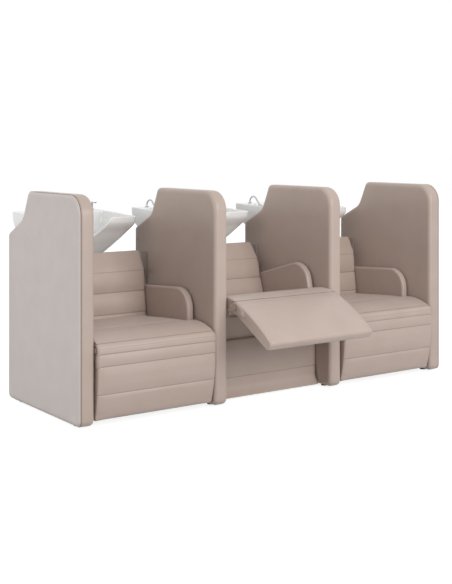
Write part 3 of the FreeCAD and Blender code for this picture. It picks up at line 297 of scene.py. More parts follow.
def ceramicMaterial():  # white glaze: faint waviness and tone, clear coat
    mat, nodes, links, shader = newMaterial("whiteGlaze", (0.82, 0.82, 0.81), 0.12)
    coords = nodes.new("ShaderNodeTexCoord").outputs["Object"]
    cloud = rangeNode(nodes, links, noiseNode(nodes, links, coords, 5.0), 0.0, 1.0)
    tone = mixColours(nodes, links, cloud, (0.80, 0.80, 0.79), (0.84, 0.84, 0.83))
    links.new(tone, shader.inputs["Base Color"])
    gloss = rangeNode(nodes, links, noiseNode(nodes, links, coords, 25.0), 0.08, 0.16)
    links.new(gloss, shader.inputs["Roughness"])
    wavy = bumpNode(nodes, links, noiseNode(nodes, links, coords, 18.0, 1.0), 0.02, 0.002)
    links.new(wavy, shader.inputs["Normal"])
    shader.inputs["Coat Weight"].default_value = 0.4
    shader.inputs["Coat Roughness"].default_value = 0.04
    return mat


def chromeMaterial():  # polished chrome with faint wipe marks
    mat, nodes, links, shader = newMaterial("polishedChrome", (0.50, 0.51, 0.52), 0.09, 1.0)
    coords = nodes.new("ShaderNodeTexCoord").outputs["Object"]
    wiped = rangeNode(nodes, links, noiseNode(nodes, links, coords, 90.0), 0.06, 0.14)
    links.new(wiped, shader.inputs["Roughness"])
    tint = noiseNode(nodes, links, coords, 12.0)
    tone = mixColours(nodes, links, tint, (0.46, 0.47, 0.48), (0.54, 0.54, 0.55))
    links.new(tone, shader.inputs["Base Color"])
    return mat


def powderMaterial(name, dark, pale, roughness, grain):  # sprayed or moulded finish with fine orange peel
    mat, nodes, links, shader = newMaterial(name, dark, roughness)
    coords = nodes.new("ShaderNodeTexCoord").outputs["Object"]
    tint = rangeNode(nodes, links, noiseNode(nodes, links, coords, 14.0), 0.0, 1.0)
    links.new(mixColours(nodes, links, tint, dark, pale), shader.inputs["Base Color"])
    peel = bumpNode(nodes, links, noiseNode(nodes, links, coords, grain), 0.15, 0.0008)
    links.new(peel, shader.inputs["Normal"])
    rough = rangeNode(nodes, links, noiseNode(nodes, links, coords, 30.0), roughness - 0.06, roughness + 0.08)
    links.new(rough, shader.inputs["Roughness"])
    return mat


def plywoodMaterial():  # birch board: stretched rings for the grain
    mat, nodes, links, shader = newMaterial("birchBoard", (0.45, 0.33, 0.20), 0.6)
    coords = nodes.new("ShaderNodeTexCoord").outputs["Object"]
    turn = nodes.new("ShaderNodeMapping")
    turn.inputs["Scale"].default_value = (1.0, 9.0, 9.0)
    links.new(coords, turn.inputs["Vector"])
    grain = noiseNode(nodes, links, turn.outputs["Vector"], 6.0, 6.0)
    rings = rangeNode(nodes, links, grain, 0.0, 1.0)
    tone = mixColours(nodes, links, rings, (0.36, 0.25, 0.14), (0.52, 0.40, 0.26))
    links.new(tone, shader.inputs["Base Color"])
    links.new(bumpNode(nodes, links, grain, 0.1, 0.0006), shader.inputs["Normal"])
    return mat


leather = leatherMaterial(leatherLook)
facing = facingMaterial(facingLook)
glaze = ceramicMaterial()
chrome = chromeMaterial()
shellPaint = powderMaterial("taupeShellPaint", linear(164, 147, 136), linear(171, 153, 143), 0.5, 900.0)
powder = powderMaterial("blackPowderCoat", (0.030, 0.030, 0.032), (0.045, 0.045, 0.048), 0.5, 900.0)
plastic = powderMaterial("blackPlastic", (0.022, 0.022, 0.023), (0.032, 0.032, 0.033), 0.55, 1400.0)
board = plywoodMaterial()
finishOf = {"upholstery": leather, "facing": facing, "ceramic": glaze, "chrome": chrome,
            "frame_steel": powder,
            "shell_paint": shellPaint, "dark_plastic": plastic, "board": board}
for part in frame["record"]["subparts"]:
    node = frame["nodes"][part["node"]]
    node.data.materials.clear()
    node.data.materials.append(finishOf[part["material_slot"]])
print("materials made:", len(finishOf))


# padded slabs: partition panels and arms

faceShares = np.array([0.04, 0.25, 0.5, 0.75, 0.92, 0.985])  # rings on a flat face, middle to edge


def slabPad(outline, low, high, rounding, centre):
    # rings from the middle of one face, over the rounded edge, to the middle of the other:
    # each ring is the outline drawn in along its normals, or drawn towards the centre on the faces
    normal = outlineNormals(outline)
    count = len(outline)
    turn = np.linspace(0, math.pi / 2, 7)
    insets = rounding * (1 - np.sin(turn))
    depths = rounding * (1 - np.cos(turn))
    inner = outline - normal * rounding
    middle = np.array(centre, dtype=float)

    def ring(x, flat):
        return np.column_stack([np.full(count, x), flat])

    rings = [ring(low, middle + (inner - middle) * share) for share in faceShares]
    rings += [ring(low + d, outline - normal * i) for i, d in zip(insets, depths)]
    rings += [ring(high - d, outline - normal * i) for i, d in zip(insets[::-1], depths[::-1])]
    rings += [ring(high, middle + (inner - middle) * share) for share in faceShares[::-1]]
    points = np.concatenate(rings)
    return closeEnds(points, ringFaces(len(rings), count), len(rings), count)


panelForm = dict(thickness=0.090, height=1.220, bottom=0.010, topDepth=0.622, shoulder=(0.697, 1.060),
                 ledge=0.966, edge=0.024, corner=0.034, frontTop=0.110, shoulderRound=0.110,
                 middle=(0.40, 0.58))


def panelOutline(form):
    corners = [(0.0, form["bottom"]), (unit["depth"], form["bottom"]), (unit["depth"], form["ledge"]),
               form["shoulder"], (form["topDepth"], form["height"]), (0.0, form["height"])]
    radii = [form["corner"]] * 3 + [form["shoulderRound"], form["corner"], form["frontTop"]]
    return roundedOutline(corners, radii)


def makePanels(form):
    outline = panelOutline(form)
    for name, place in (("left_end_panel", -1.5), ("left_inner_panel", -0.5), ("right_inner_panel", 0.5),
                        ("right_end_panel", 1.5)):
        x = place * unit["pitch"]
        points, faces = slabPad(outline, x - form["thickness"] / 2, x + form["thickness"] / 2, form["edge"],
                                form["middle"])
        points = points - np.array([0.0, unit["depth"] / 2, 0.0])
        obj = makeMesh(name + "_padded", points, faces)
        finishPiece(obj, leather, "stand", name, smooth=1)


makePanels(panelForm)
print("panels done")

# the facing ends at this turn round the panel's edge, in degrees; the last turns before it are the sewn line,
# darkened with painted shade
facingForm = dict(proud=0.003, tuck=0.002, turn=58.0, plain=10.0, sewn=(7.0, 3.5, 0.0))


def makeFacings(form):
    # a thin shell on the outer side of each end panel: flat, then round the edge as far as its sewn line
    outline = panelOutline(panelForm)
    normal = outlineNormals(outline)
    count = len(outline)
    edge, outer = panelForm["edge"], 1.5 * unit["pitch"] + panelForm["thickness"] / 2
    middle = np.array(panelForm["middle"])
    inner = outline - normal * edge

    def ring(radius, angle):
        x = outer - edge + radius * math.cos(angle)
        return np.column_stack([np.full(count, x), outline - normal * (edge - radius * math.sin(angle))])

    def flat(radius, share):
        return np.column_stack([np.full(count, outer - edge + radius), middle + (inner - middle) * share])

    plain = np.linspace(0, form["turn"] - form["plain"], 8)
    turns = np.radians(np.append(plain, form["turn"] - np.array(form["sewn"])))
    rings = [flat(edge + form["proud"], share) for share in faceShares]
    rings += [ring(edge + form["proud"], turn) for turn in turns]
    last = len(rings)
    rings += [ring(edge - form["tuck"], turn) for turn in turns[::-3]]
    rings += [flat(edge - form["tuck"], share) for share in faceShares[[-1, 2, 0]]]
    # painted shade on the rings of the sewn line
    tones = np.zeros(len(rings))
    tones[last - len(form["sewn"]):last + 1] = 1.0
    points, faces = closeEnds(np.concatenate(rings), ringFaces(len(rings), count), len(rings), count)
    shade = np.concatenate([np.repeat(tones, count), [0.0, 0.0]])
    points = points - np.array([0.0, unit["depth"] / 2, 0.0])
    other = [[[i + len(points) for i in face[::-1]] for face in group] for group in faces]
    both = np.concatenate([points, points * np.array([-1.0, 1.0, 1.0])])
    obj = makeMesh("end_facings_sewn", both, faces + other, np.tile(shade, 2))
    finishPiece(obj, facing, "stand", "end_facings", smooth=0)


makeFacings(facingForm)
print("facings done")

armForm = dict(front=0.198, frontTop=0.659, rear=0.738, rearTop=0.625, bottom=0.366, inner=0.3265,
               outer=0.3705, edge=0.013, round=0.120, corner=0.016, middle=(0.48, 0.50))


def makeArms(form):
    corners = [(form["front"], form["bottom"]), (form["rear"], form["bottom"]),
               (form["rear"], form["rearTop"]), (form["front"], form["frontTop"])]
    radii = [form["corner"]] * 3 + [form["round"]]
    outline = roundedOutline(corners, radii, cornerPoints=15, step=0.02)
    for bay in bays:
        for side, sign in (("left", -1), ("right", 1)):
            low, high = sorted((sign * form["inner"], sign * form["outer"]))
            points, faces = slabPad(outline, low, high, form["edge"], form["middle"])
            obj = makeMesh(f"{bay}_{side}_arm_padded", seatToRow(points, bay), faces)
            finishPiece(obj, leather, f"{bay}_seat", f"{bay}_{side}_arm", smooth=1)


makeArms(armForm)
print("arms done")


# cushions carried across the bay: the side outline changes a little from station to station

def quarterIn(x, half, rounding):  # draw-in towards the sewn side edge, a quarter circle
    into = np.clip((np.abs(x) - (half - rounding)) / rounding, 0, 1)
    return rounding * (1 - np.sqrt(1 - into ** 2))


cornerCut = 1 - math.sqrt(0.5)  # along each axis, from a square corner to the middle of its arc, for radius 1


def drawIn(form, x, share=0.8):
    return float(quarterIn(x, form["half"], form["rounding"]) * share)


def atSides(form, points, margin=0.001):
    return np.abs(points[:, 0]) > form["half"] - margin


def acrossStations(half, rounding, count=26):
    flat = np.linspace(-(half - rounding), half - rounding, count)
    edge = half - rounding + rounding * np.sin(np.linspace(0, math.pi / 2, 8)[1:])
    return np.concatenate([-edge[::-1], flat, edge])


def carriedPad(stations, outlineAt):  # rings along X, closed at both ends
    loops = [outlineAt(x) for x in stations]
    count = len(loops[0])
    points = np.concatenate([np.column_stack([np.full(count, x), loop]) for x, loop in zip(stations, loops)])
    return points, count


def capRings(points, count, rings):  # three smaller rings in each end so that the flat side has its own faces
    first, last = points[:count], points[-count:]
    shares = (0.3, 0.7, 0.94)
    low = [first.mean(axis=0) + (first - first.mean(axis=0)) * s for s in shares]
    high = [last.mean(axis=0) + (last - last.mean(axis=0)) * s for s in shares[::-1]]
    return np.concatenate(low + [points] + high), rings + 2 * len(shares)


clothForm = dict(quality=6, mass=0.4, stretch=20, bend=2.0, frames=20)


def inflate(name, points, faceLists, held, pressure, cap):
    # cloth blown up a little from inside; held points stay, and no point goes further than cap
    obj = makeMesh(name + "_cloth", points, faceLists)
    group = obj.vertex_groups.new(name="held")
    group.add(np.flatnonzero(held).tolist(), 1.0, "REPLACE")
    mod = obj.modifiers.new("cloth", "CLOTH")
    settings = mod.settings
    settings.quality = clothForm["quality"]
    settings.mass = clothForm["mass"]
    settings.tension_stiffness = clothForm["stretch"]
    settings.compression_stiffness = clothForm["stretch"]
    settings.bending_stiffness = clothForm["bend"]
    settings.use_pressure = True
    settings.uniform_pressure_force = pressure
    settings.vertex_group_mass = "held"
    settings.effector_weights.gravity = 0
    mod.point_cache.frame_start = 1
    mod.point_cache.frame_end = clothForm["frames"]
    scene = bpy.context.scene
    for number in range(1, clothForm["frames"] + 1):
        scene.frame_set(number)
    shaped = obj.evaluated_get(bpy.context.evaluated_depsgraph_get())
    out = np.empty(len(points) * 3)
    shaped.data.vertices.foreach_get("co", out)
    move = out.reshape(-1, 3) - points
    length = np.linalg.norm(move, axis=1)
    move *= np.minimum(1, cap / np.maximum(length, 1e-9))[:, None]
    scene.frame_set(1)
    bpy.data.objects.remove(obj, do_unlink=True)
    print("cloth", name, "largest move mm", round(float(length.max() * 1000), 1))
    return points + move


def sewnPlaces(length, seams, form):
    # places along a run, closer together at its sewn lines, as shares of its length; the lift is a low arch
    # between the lines less a narrow groove at each, and the shade is the painted shade in each line's
    # groove, to its own depth
    half = form["grooveHalf"]
    near = np.array([-2.6, -1.3, -0.6, 0.0, 0.6, 1.3, 2.6]) * half
    places = np.linspace(0, length, form["runPoints"])
    for seam, tone in seams:
        places = places[np.abs(places - seam) > 3.4 * half]
    places = np.sort(np.concatenate([places] + [seam + near for seam, tone in seams]))
    ends = np.array([0.0] + [seam for seam, tone in seams] + [length])
    k = np.clip(np.searchsorted(ends, places, "right") - 1, 0, len(ends) - 2)
    across = (places - ends[k]) / (ends[k + 1] - ends[k])
    lift = form["bulge"] * (1 - (2 * across - 1) ** 4)
    shade = np.zeros(len(places))
    for seam, tone in seams:
        groove = np.exp(-((places - seam) / half) ** 2)
        lift -= form["groove"] * tone * groove
        shade = np.maximum(shade, tone * np.clip(1 - np.abs(places - seam) / (0.9 * half), 0, 1))
    return places / length, lift, shade


def sewnRun(run, places, lift, side):  # a run taken at the given shares and lifted off along its normals
    step = np.linalg.norm(np.diff(run, axis=0), axis=1)
    along = np.concatenate([[0.0], np.cumsum(step)])
    taken = np.stack([np.interp(places * along[-1], along, run[:, k]) for k in (0, 1)], axis=1)
    slope = np.gradient(taken, axis=0)
    slope /= np.linalg.norm(slope, axis=1)[:, None]
    return taken + side * lift[:, None] * np.stack([slope[:, 1], -slope[:, 0]], axis=1)


def padFromOutline(name, form, outlineAt, heldTest, loopShade=None):
    stations = acrossStations(form["half"], form["rounding"])
    points, count = carriedPad(stations, lambda x: outlineAt(form, x))
    points, rings = capRings(points, count, len(stations))
    points, faces = closeEnds(points, ringFaces(rings, count), rings, count)
    shade = np.zeros(len(points))
    if loopShade is not None:
        one = np.zeros(count)
        one[:len(loopShade)] = loopShade
        caps = (rings - len(stations)) // 2
        shade[caps * count:(caps + len(stations)) * count] = np.tile(one, len(stations))
    held = heldTest(form, points) | (shade > 0.05)
    return inflate(name, points, faces, held, form["pressure"], form["cap"]), faces, shade


# a part between the arms and a full-width nose before them; the two tops cross just in front of the arms
seatForm = dict(half=0.3215, rounding=0.014, frontTop=0.4785, rearTop=0.4515, crown=0.007, crownFall=0.85,
                rear=0.6395, bottom=0.3645, front=0.165, heldDrop=0.035, heldFront=0.045, pressure=2.0,
                cap=0.006)
noseForm = dict(half=0.3705, rounding=0.014, top=0.4785, cross=0.0007, rear=0.1948, bend=0.150,
                middle=(0.070, 0.467), tipAngle=104.0, tipTurn=2.0, tip=0.0012, reach=0.0369, lowAngle=5.0,
                bottom=0.3645, bottomFront=0.080, heldReach=0.012, heldRear=0.01, heldRise=0.03, pressure=1.0,
                cap=0.002)


def seatOutline(form, x):  # up the front, over the crowned top, round the rear edge and back along the bottom
    inset = drawIn(form, x)
    top, rearTop, bottom = form["frontTop"] - inset, form["rearTop"] - inset, form["bottom"]
    crown = (top + rearTop) / 2 + form["crown"] * (1 - form["crownFall"] * (x / form["half"]) ** 2)
    front, rear, r = form["front"], form["rear"] - inset, form["rounding"]
    bend = r * cornerCut
    return joinPath([lineTo((front, bottom), (front, top), 6),
                     arcThrough((front, top), ((front + rear - r) / 2, crown), (rear - r, rearTop), 40),
                     arcThrough((rear - r, rearTop), (rear - bend, rearTop - bend), (rear, rearTop - r), 5),
                     lineTo((rear, rearTop - r), (rear, bottom), 7),
                     lineTo((rear, bottom), (front, bottom), 24)])


def seatHeld(form, points):
    y, z = points[:, 1], points[:, 2]
    below, before = z < form["rearTop"] - form["heldDrop"], y < form["front"] + form["heldFront"]
    return below | before | atSides(form, points)


def noseOutline(form, x):  # round the leg rest's roll to the thin tip, back over the top and down behind
    inset = drawIn(form, x)
    hinge, top, rear, bottom = np.array(unit["hinge"]), form["top"] - inset, form["rear"], form["bottom"]
    depth = form["tip"] * (1 - inset / form["rounding"])
    low = hinge + onRing(form["reach"], form["lowAngle"])
    tip = hinge + onRing(form["reach"], form["tipAngle"])
    between = hinge + onRing(form["reach"], (form["lowAngle"] + form["tipAngle"]) / 2)
    over = hinge + onRing(form["reach"] + depth, form["tipAngle"] + form["tipTurn"])
    bend, end = (form["bend"], top + form["cross"]), (rear, top - form["cross"])
    middle, foot = (form["middle"][0], form["middle"][1] - inset), (form["bottomFront"], bottom)
    return joinPath([arcThrough(low, between, tip, 12), lineTo(tip, over, 3),
                     arcThrough(over, middle, bend, 26), lineTo(bend, end, 5), lineTo(end, (rear, bottom), 9),
                     lineTo((rear, bottom), foot, 9), lineTo(foot, low, 5)])


def noseHeld(form, points):
    y, z = points[:, 1], points[:, 2]
    near = np.hypot(y - unit["hinge"][0], z - unit["hinge"][1]) < form["reach"] + form["heldReach"]
    behind, below = y > form["bend"] - form["heldRear"], z < form["bottom"] + form["heldRise"]
    return near | behind | below | atSides(form, points)


def makeSeatCushions(seat, nose):
    main, mainFaces = padFromOutline("seatCushion", seat, seatOutline, seatHeld)[:2]
    lap, lapFaces = padFromOutline("seatNose", nose, noseOutline, noseHeld)[:2]
    points = np.concatenate([main, lap])
    faces = mainFaces + [[[i + len(main) for i in face] for face in group] for group in lapFaces]
    for bay in bays:
        obj = makeMesh(f"{bay}_seat_cushion_padded", seatToRow(points, bay), faces)
        finishPiece(obj, leather, f"{bay}_seat", f"{bay}_seat_cushion", smooth=1)


makeSeatCushions(seatForm, noseForm)
print("seat cushions done")

# front face as corner points (y, z) from the foot to the top; the sewn lines lie on the second to the fourth
# tones are the depths of the painted shade in the three sewn lines
backForm = dict(half=0.3235, rounding=0.020, bottom=0.366, rear=0.7445, bendZ=0.690, topRear=(0.782, 0.812),
                face=((0.644, 0.366), (0.643, 0.473), (0.661, 0.600), (0.668, 0.722), (0.724, 0.836)),
                topRise=(0.004, 0.006), crown=0.006, bulge=0.005, groove=0.003, grooveHalf=0.0026,
                runPoints=64, tones=(0.8, 0.7, 0.5), heldBelow=0.44, heldRear=0.03, pressure=2.0, cap=0.004)


def backFace(form, x):
    inset = drawIn(form, x)
    forward = form["crown"] * (1 - (x / form["half"]) ** 2) - inset
    face = np.array(form["face"], dtype=float)
    face[:2, 0] += inset
    face[2:-1, 0] -= forward
    face[-1] += (inset, -inset)
    return face, inset


backLengths = np.cumsum(np.linalg.norm(np.diff(backFace(backForm, 0.0)[0], axis=0), axis=1))
backSeams = list(zip(backLengths[:3], backForm["tones"]))
backPlaces, backLift, backShade = sewnPlaces(backLengths[-1], backSeams, backForm)


def backOutline(form, x):  # up the sewn front, over the top, and down the bent rear
    face, inset = backFace(form, x)
    front = sewnRun(face, backPlaces, backLift, -1)
    topRear = np.array(form["topRear"]) + (0, -inset)
    over = (front[-1] + topRear) / 2 + np.array(form["topRise"])
    rear = form["rear"]
    return joinPath([front, arcThrough(front[-1], over, topRear, 9),
                     lineTo(topRear, (rear, form["bendZ"]), 8),
                     lineTo((rear, form["bendZ"]), (rear, form["bottom"]), 14),
                     lineTo((rear, form["bottom"]), front[0], 6)])


def backHeld(form, points):
    y, z = points[:, 1], points[:, 2]
    return (z < form["heldBelow"]) | (y > form["rear"] - form["heldRear"]) | atSides(form, points)


def makeBackCushions(form):
    points, faces, shade = padFromOutline("backCushion", form, backOutline, backHeld, backShade)
    for bay in bays:
        obj = makeMesh(f"{bay}_back_cushion_padded", seatToRow(points, bay), faces, shade)
        finishPiece(obj, leather, f"{bay}_seat", f"{bay}_back_cushion", smooth=1)


makeBackCushions(backForm)
print("back cushions done")

# sewn lines: one on the roll by angle, the others on the front by drop under the hinge, each with the depth
# of its painted shade
legForm = dict(half=0.3715, rounding=0.012, radius=0.0350, back=0.0228, length=0.3755, start=42.0, stop=172.0,
               endRound=0.020, backRound=0.024, arch=0.014, hollow=0.0157, notch=0.0192,
               rollSeams=((160.0, 0.35),), dropSeams=((0.016, 0.7), (0.081, 0.8), (0.230, 0.8)), bulge=0.0012,
               groove=0.0026, grooveHalf=0.0026, runPoints=64, heldDrop=0.01, heldBack=0.004, pressure=2.0,
               cap=0.003)


def legFront(form, x):  # over the roll and down the arched front, a parabola, to the rounding at the foot
    inset = drawIn(form, x)
    outer, end = form["radius"] - inset, form["length"] - inset
    start, stop = form["start"], form["stop"]
    roll = arcThrough(onRing(outer, start), onRing(outer, (start + stop) / 2), onRing(outer, stop), 40)
    straight = end - form["endRound"]
    along = np.linspace(0, 1, 60)
    front = np.column_stack([-outer - form["arch"] * 4 * along * (1 - along), -straight * along])
    return np.concatenate([roll, front]), end


def runLength(run):
    return float(np.linalg.norm(np.diff(run, axis=0), axis=1).sum())


def legSeams(form):  # distance along the front: arc length on the roll, then the drop
    arc = [(form["radius"] * math.radians(angle - form["start"]), tone) for angle, tone in form["rollSeams"]]
    whole = form["radius"] * math.radians(180 - form["start"])
    return arc + [(whole + drop, tone) for drop, tone in form["dropSeams"]]


def legHeld(form, points):
    y, z = points[:, 1], points[:, 2]
    return (z > -form["heldDrop"]) | (y > form["back"] - form["heldBack"]) | atSides(form, points)


def makeLegRests(form):
    whole = runLength(legFront(form, 0.0)[0])
    shapes = {}
    for kind, seams in (("folded", legSeams(form)), ("raised", [])):
        places, lift, tone = sewnPlaces(whole, seams, form)

        def outlineAt(f, x, places=places, lift=lift):
            run, end = legFront(f, x)
            front = sewnRun(run, places, lift, 1)
            r, low, back, tip = f["endRound"], f["backRound"], f["back"], front[-1]
            hollow, notch, start = f["hollow"], f["notch"], f["start"]
            bend, lowBend = r * cornerCut, low * cornerCut
            heel = arcThrough((back - low, -end), (back - lowBend, -end + lowBend), (back, -end + low), 7)
            inside, mid = onRing(hollow, start), onRing(hollow, (start + 180) / 2)
            return joinPath([front, arcThrough(tip, (tip[0] + bend, -end + bend), (tip[0] + r, -end), 7),
                             lineTo((tip[0] + r, -end), (back - low, -end), 3), heel,
                             lineTo((back, -end + low), (back, -notch), 30),
                             lineTo((back, -notch), (-hollow, -notch), 6),
                             lineTo((-hollow, -notch), (-hollow, 0.0), 4),
                             arcThrough((-hollow, 0.0), mid, inside, 10), lineTo(inside, front[0], 4)])

        shapes[kind] = padFromOutline("legRest_" + kind, form, outlineAt, legHeld, tone)
    for bay in bays:
        points, faces, shade = shapes["raised" if bays[bay]["reclined"] else "folded"]
        obj = makeMesh(f"{bay}_leg_rest_padded", legToRow(points, bay), faces, shade)
        finishPiece(obj, leather, f"{bay}_leg_rest", f"{bay}_leg_rest_pad", smooth=1)


makeLegRests(legForm)
print("leg rests done")

cheekForm = dict(hole=0.0150, radius=0.0342, drop=0.072, lowRadius=0.026, near=0.3690, far=0.3727,
                 edge=0.0008)


def makeLegCheeks(form):
    # covered end cheeks over the hinge: a ring between the hinge hole and a tapering round-ended outline
    radius, drop, low = form["radius"], form["drop"], form["lowRadius"]
    foot = np.array([low - radius, -drop])
    outline = joinPath([arcThrough((radius, 0), (0, radius), (-radius, 0), 30),
                        lineTo((-radius, 0), foot - (low, 0), 8),
                        arcThrough(foot - (low, 0), foot - (0, low), foot + (low, 0), 24),
                        lineTo(foot + (low, 0), (radius, 0), 8)])
    count = len(outline)
    reach = np.linalg.norm(outline, axis=1, keepdims=True)
    hole, slim = outline / reach * form["hole"], outline * (1 - form["edge"] / reach)
    middle = (form["near"] + form["far"]) / 2
    near, far = form["near"], form["far"]
    layers = [(near, hole), (near, slim), (middle, outline), (far, slim), (far, hole)]
    one = np.concatenate([np.column_stack([np.full(count, x), flat]) for x, flat in layers])
    faces = ringFaces(len(layers) + 1, count) % len(one)
    points = np.concatenate([one, one * np.array([-1.0, 1.0, 1.0])])
    both = np.concatenate([faces, faces[:, ::-1] + len(one)]).tolist()
    for bay in bays:
        obj = makeMesh(f"{bay}_leg_rest_cheeks", legToRow(points, bay), [both])
        finishPiece(obj, leather, f"{bay}_leg_rest", smooth=0)


makeLegCheeks(cheekForm)
print("leg rest cheeks done")

# toe and topRound are small bevels; rise and riseShare place the middle of the flare's curve
# tone is the depth of the painted shade in the sewn line, toneHalf its half width
fasciaForm = dict(half=0.377, rounding=0.010, draw=0.6, back=0.1495, front=0.137, flare=0.105, bottom=0.011,
                  toe=0.006, rise=0.030, riseShare=0.62, flareTop=0.070, seam=0.123, top=0.344,
                  topRound=(0.005, 0.006), groove=0.003, grooveHalf=0.004, bulge=0.002, tone=0.6,
                  toneHalf=0.002, backMargin=0.004)


def fasciaOutline(form, x):  # along the bottom, up the flared sewn front, over the top, down the back
    inset = drawIn(form, x, form["draw"])
    front, flare, back = form["front"] + inset, form["flare"] + inset, form["back"]
    bottom, top, toe, seamZ, half = form["bottom"], form["top"], form["toe"], form["seam"], form["grooveHalf"]
    low, bend = (flare, bottom + toe), (front, form["flareTop"])
    above, seam, below = (front, seamZ + half), (front + form["groove"], seamZ), (front, seamZ - half)
    edge, over = (front, top - form["topRound"][1]), (front + form["topRound"][0], top)
    middle = (flare + (front - flare) * form["riseShare"], bottom + form["rise"])
    return joinPath([lineTo((back, bottom), (flare + toe, bottom), 4), lineTo((flare + toe, bottom), low, 3),
                     arcThrough(low, middle, bend, 9),
                     lineTo(bend, below, 5), lineTo(below, seam, 3), lineTo(seam, above, 3),
                     arcThrough(above, (front - form["bulge"], (seamZ + top) / 2), edge, 14),
                     lineTo(edge, over, 3), lineTo(over, (back, top), 3),
                     lineTo((back, top), (back, bottom), 20)])


def makeFascias(form):
    stations = acrossStations(form["half"], form["rounding"])
    points, count = carriedPad(stations, lambda x: fasciaOutline(form, x))
    points, rings = capRings(points, count, len(stations))
    points, faces = closeEnds(points, ringFaces(rings, count), rings, count)
    # painted shade along the sewn line across the front
    line = np.clip(1 - np.abs(points[:, 2] - form["seam"]) / form["toneHalf"], 0, 1)
    shade = form["tone"] * line * (points[:, 1] < form["back"] - form["backMargin"])
    for bay in bays:
        obj = makeMesh(f"{bay}_fascia_padded", toRow(points, bay), faces, shade)
        finishPiece(obj, leather, "stand", f"{bay}_front_fascia", smooth=1)


makeFascias(fasciaForm)
print("fascias done")


# basins

basinForm = dict(front=0.696, length=0.557, half=0.290, rimFront=1.047, rimRear=1.069, drop=0.252, wall=0.016,
                 deck=0.128, lip=0.008, neckHalf=0.098, neckDepth=0.119, neckBand=0.08, neckPowers=(2.6, 0.8),
                 leastCorner=0.018, cornerLoss=0.4, around=18, rows=60)
# drop, front, rear, front half width, rear half width, corner: shares as in the solid
basinRows = np.array([(0.00, 0.000, 1.000, 1.000, 1.000, 0.115), (0.15, 0.000, 1.000, 0.998, 0.998, 0.115),
                      (0.25, 0.035, 1.000, 0.972, 0.990, 0.125), (0.38, 0.100, 0.985, 0.930, 0.965, 0.140),
                      (0.54, 0.160, 0.920, 0.845, 0.880, 0.155), (0.70, 0.220, 0.830, 0.740, 0.760, 0.170),
                      (0.86, 0.270, 0.750, 0.610, 0.620, 0.175), (1.00, 0.310, 0.690, 0.460, 0.460, 0.180)])


def basinLoops(form, wall):
    # plan sections on evenly spaced drops; between the listed rows each share runs on a smoothed line
    drops = np.linspace(0, 1, form["rows"])
    table = np.stack([np.interp(drops, basinRows[:, 0], basinRows[:, k]) for k in range(1, 6)], axis=1)
    kernel = np.hanning(11)
    padded = np.pad(table, ((5, 5), (0, 0)), mode="edge")
    table = np.stack([np.convolve(padded[:, k], kernel / kernel.sum(), "valid") for k in range(5)], axis=1)
    loops = []
    for drop, (front, rear, halfFront, halfRear, corner) in zip(drops, table):
        yFront = form["front"] + front * form["length"] + wall
        yRear = form["front"] + rear * form["length"] - wall
        if wall:
            yRear = min(yRear, form["front"] + form["length"] - form["deck"])
        hf, hr = halfFront * form["half"] - wall, halfRear * form["half"] - wall
        radius = max(corner * form["half"] - wall * form["cornerLoss"], form["leastCorner"])
        corners = [(-hf, yFront), (hf, yFront), (hr, yRear), (-hr, yRear)]
        flat = evenLoop(corners, radius, form["around"])
        slope = (form["rimRear"] - form["rimFront"]) / form["length"] * (1 - drop)
        z = form["rimFront"] + slope * (flat[:, 1] - form["front"]) - drop * (form["drop"] - wall)
        loops.append(np.column_stack([flat, z]))
    return np.stack(loops)


def evenLoop(corners, radius, around, cornerPoints=11):  # rounded four-sided loop, most points in front
    starts, middles, ends = cornerTurns(corners, [radius] * len(corners))
    runs = []
    for i, follow in enumerate(np.roll(starts, -1, axis=0)):
        runs.append(arcThrough(starts[i], middles[i], ends[i], cornerPoints))
        runs.append(lineTo(ends[i], follow, (around if i else 3 * around) + 1))
    return joinPath(runs)


def atDrop(loops, drop):  # points of every column at its own drop, between the two nearest sections
    place = np.clip(drop, 0, 1) * (len(loops) - 1)
    low = np.minimum(np.floor(place).astype(int), len(loops) - 2)
    share = (place - low)[..., None]
    column = np.broadcast_to(np.arange(loops.shape[1]), drop.shape)
    return loops[low, column] * (1 - share) + loops[low + 1, column] * share


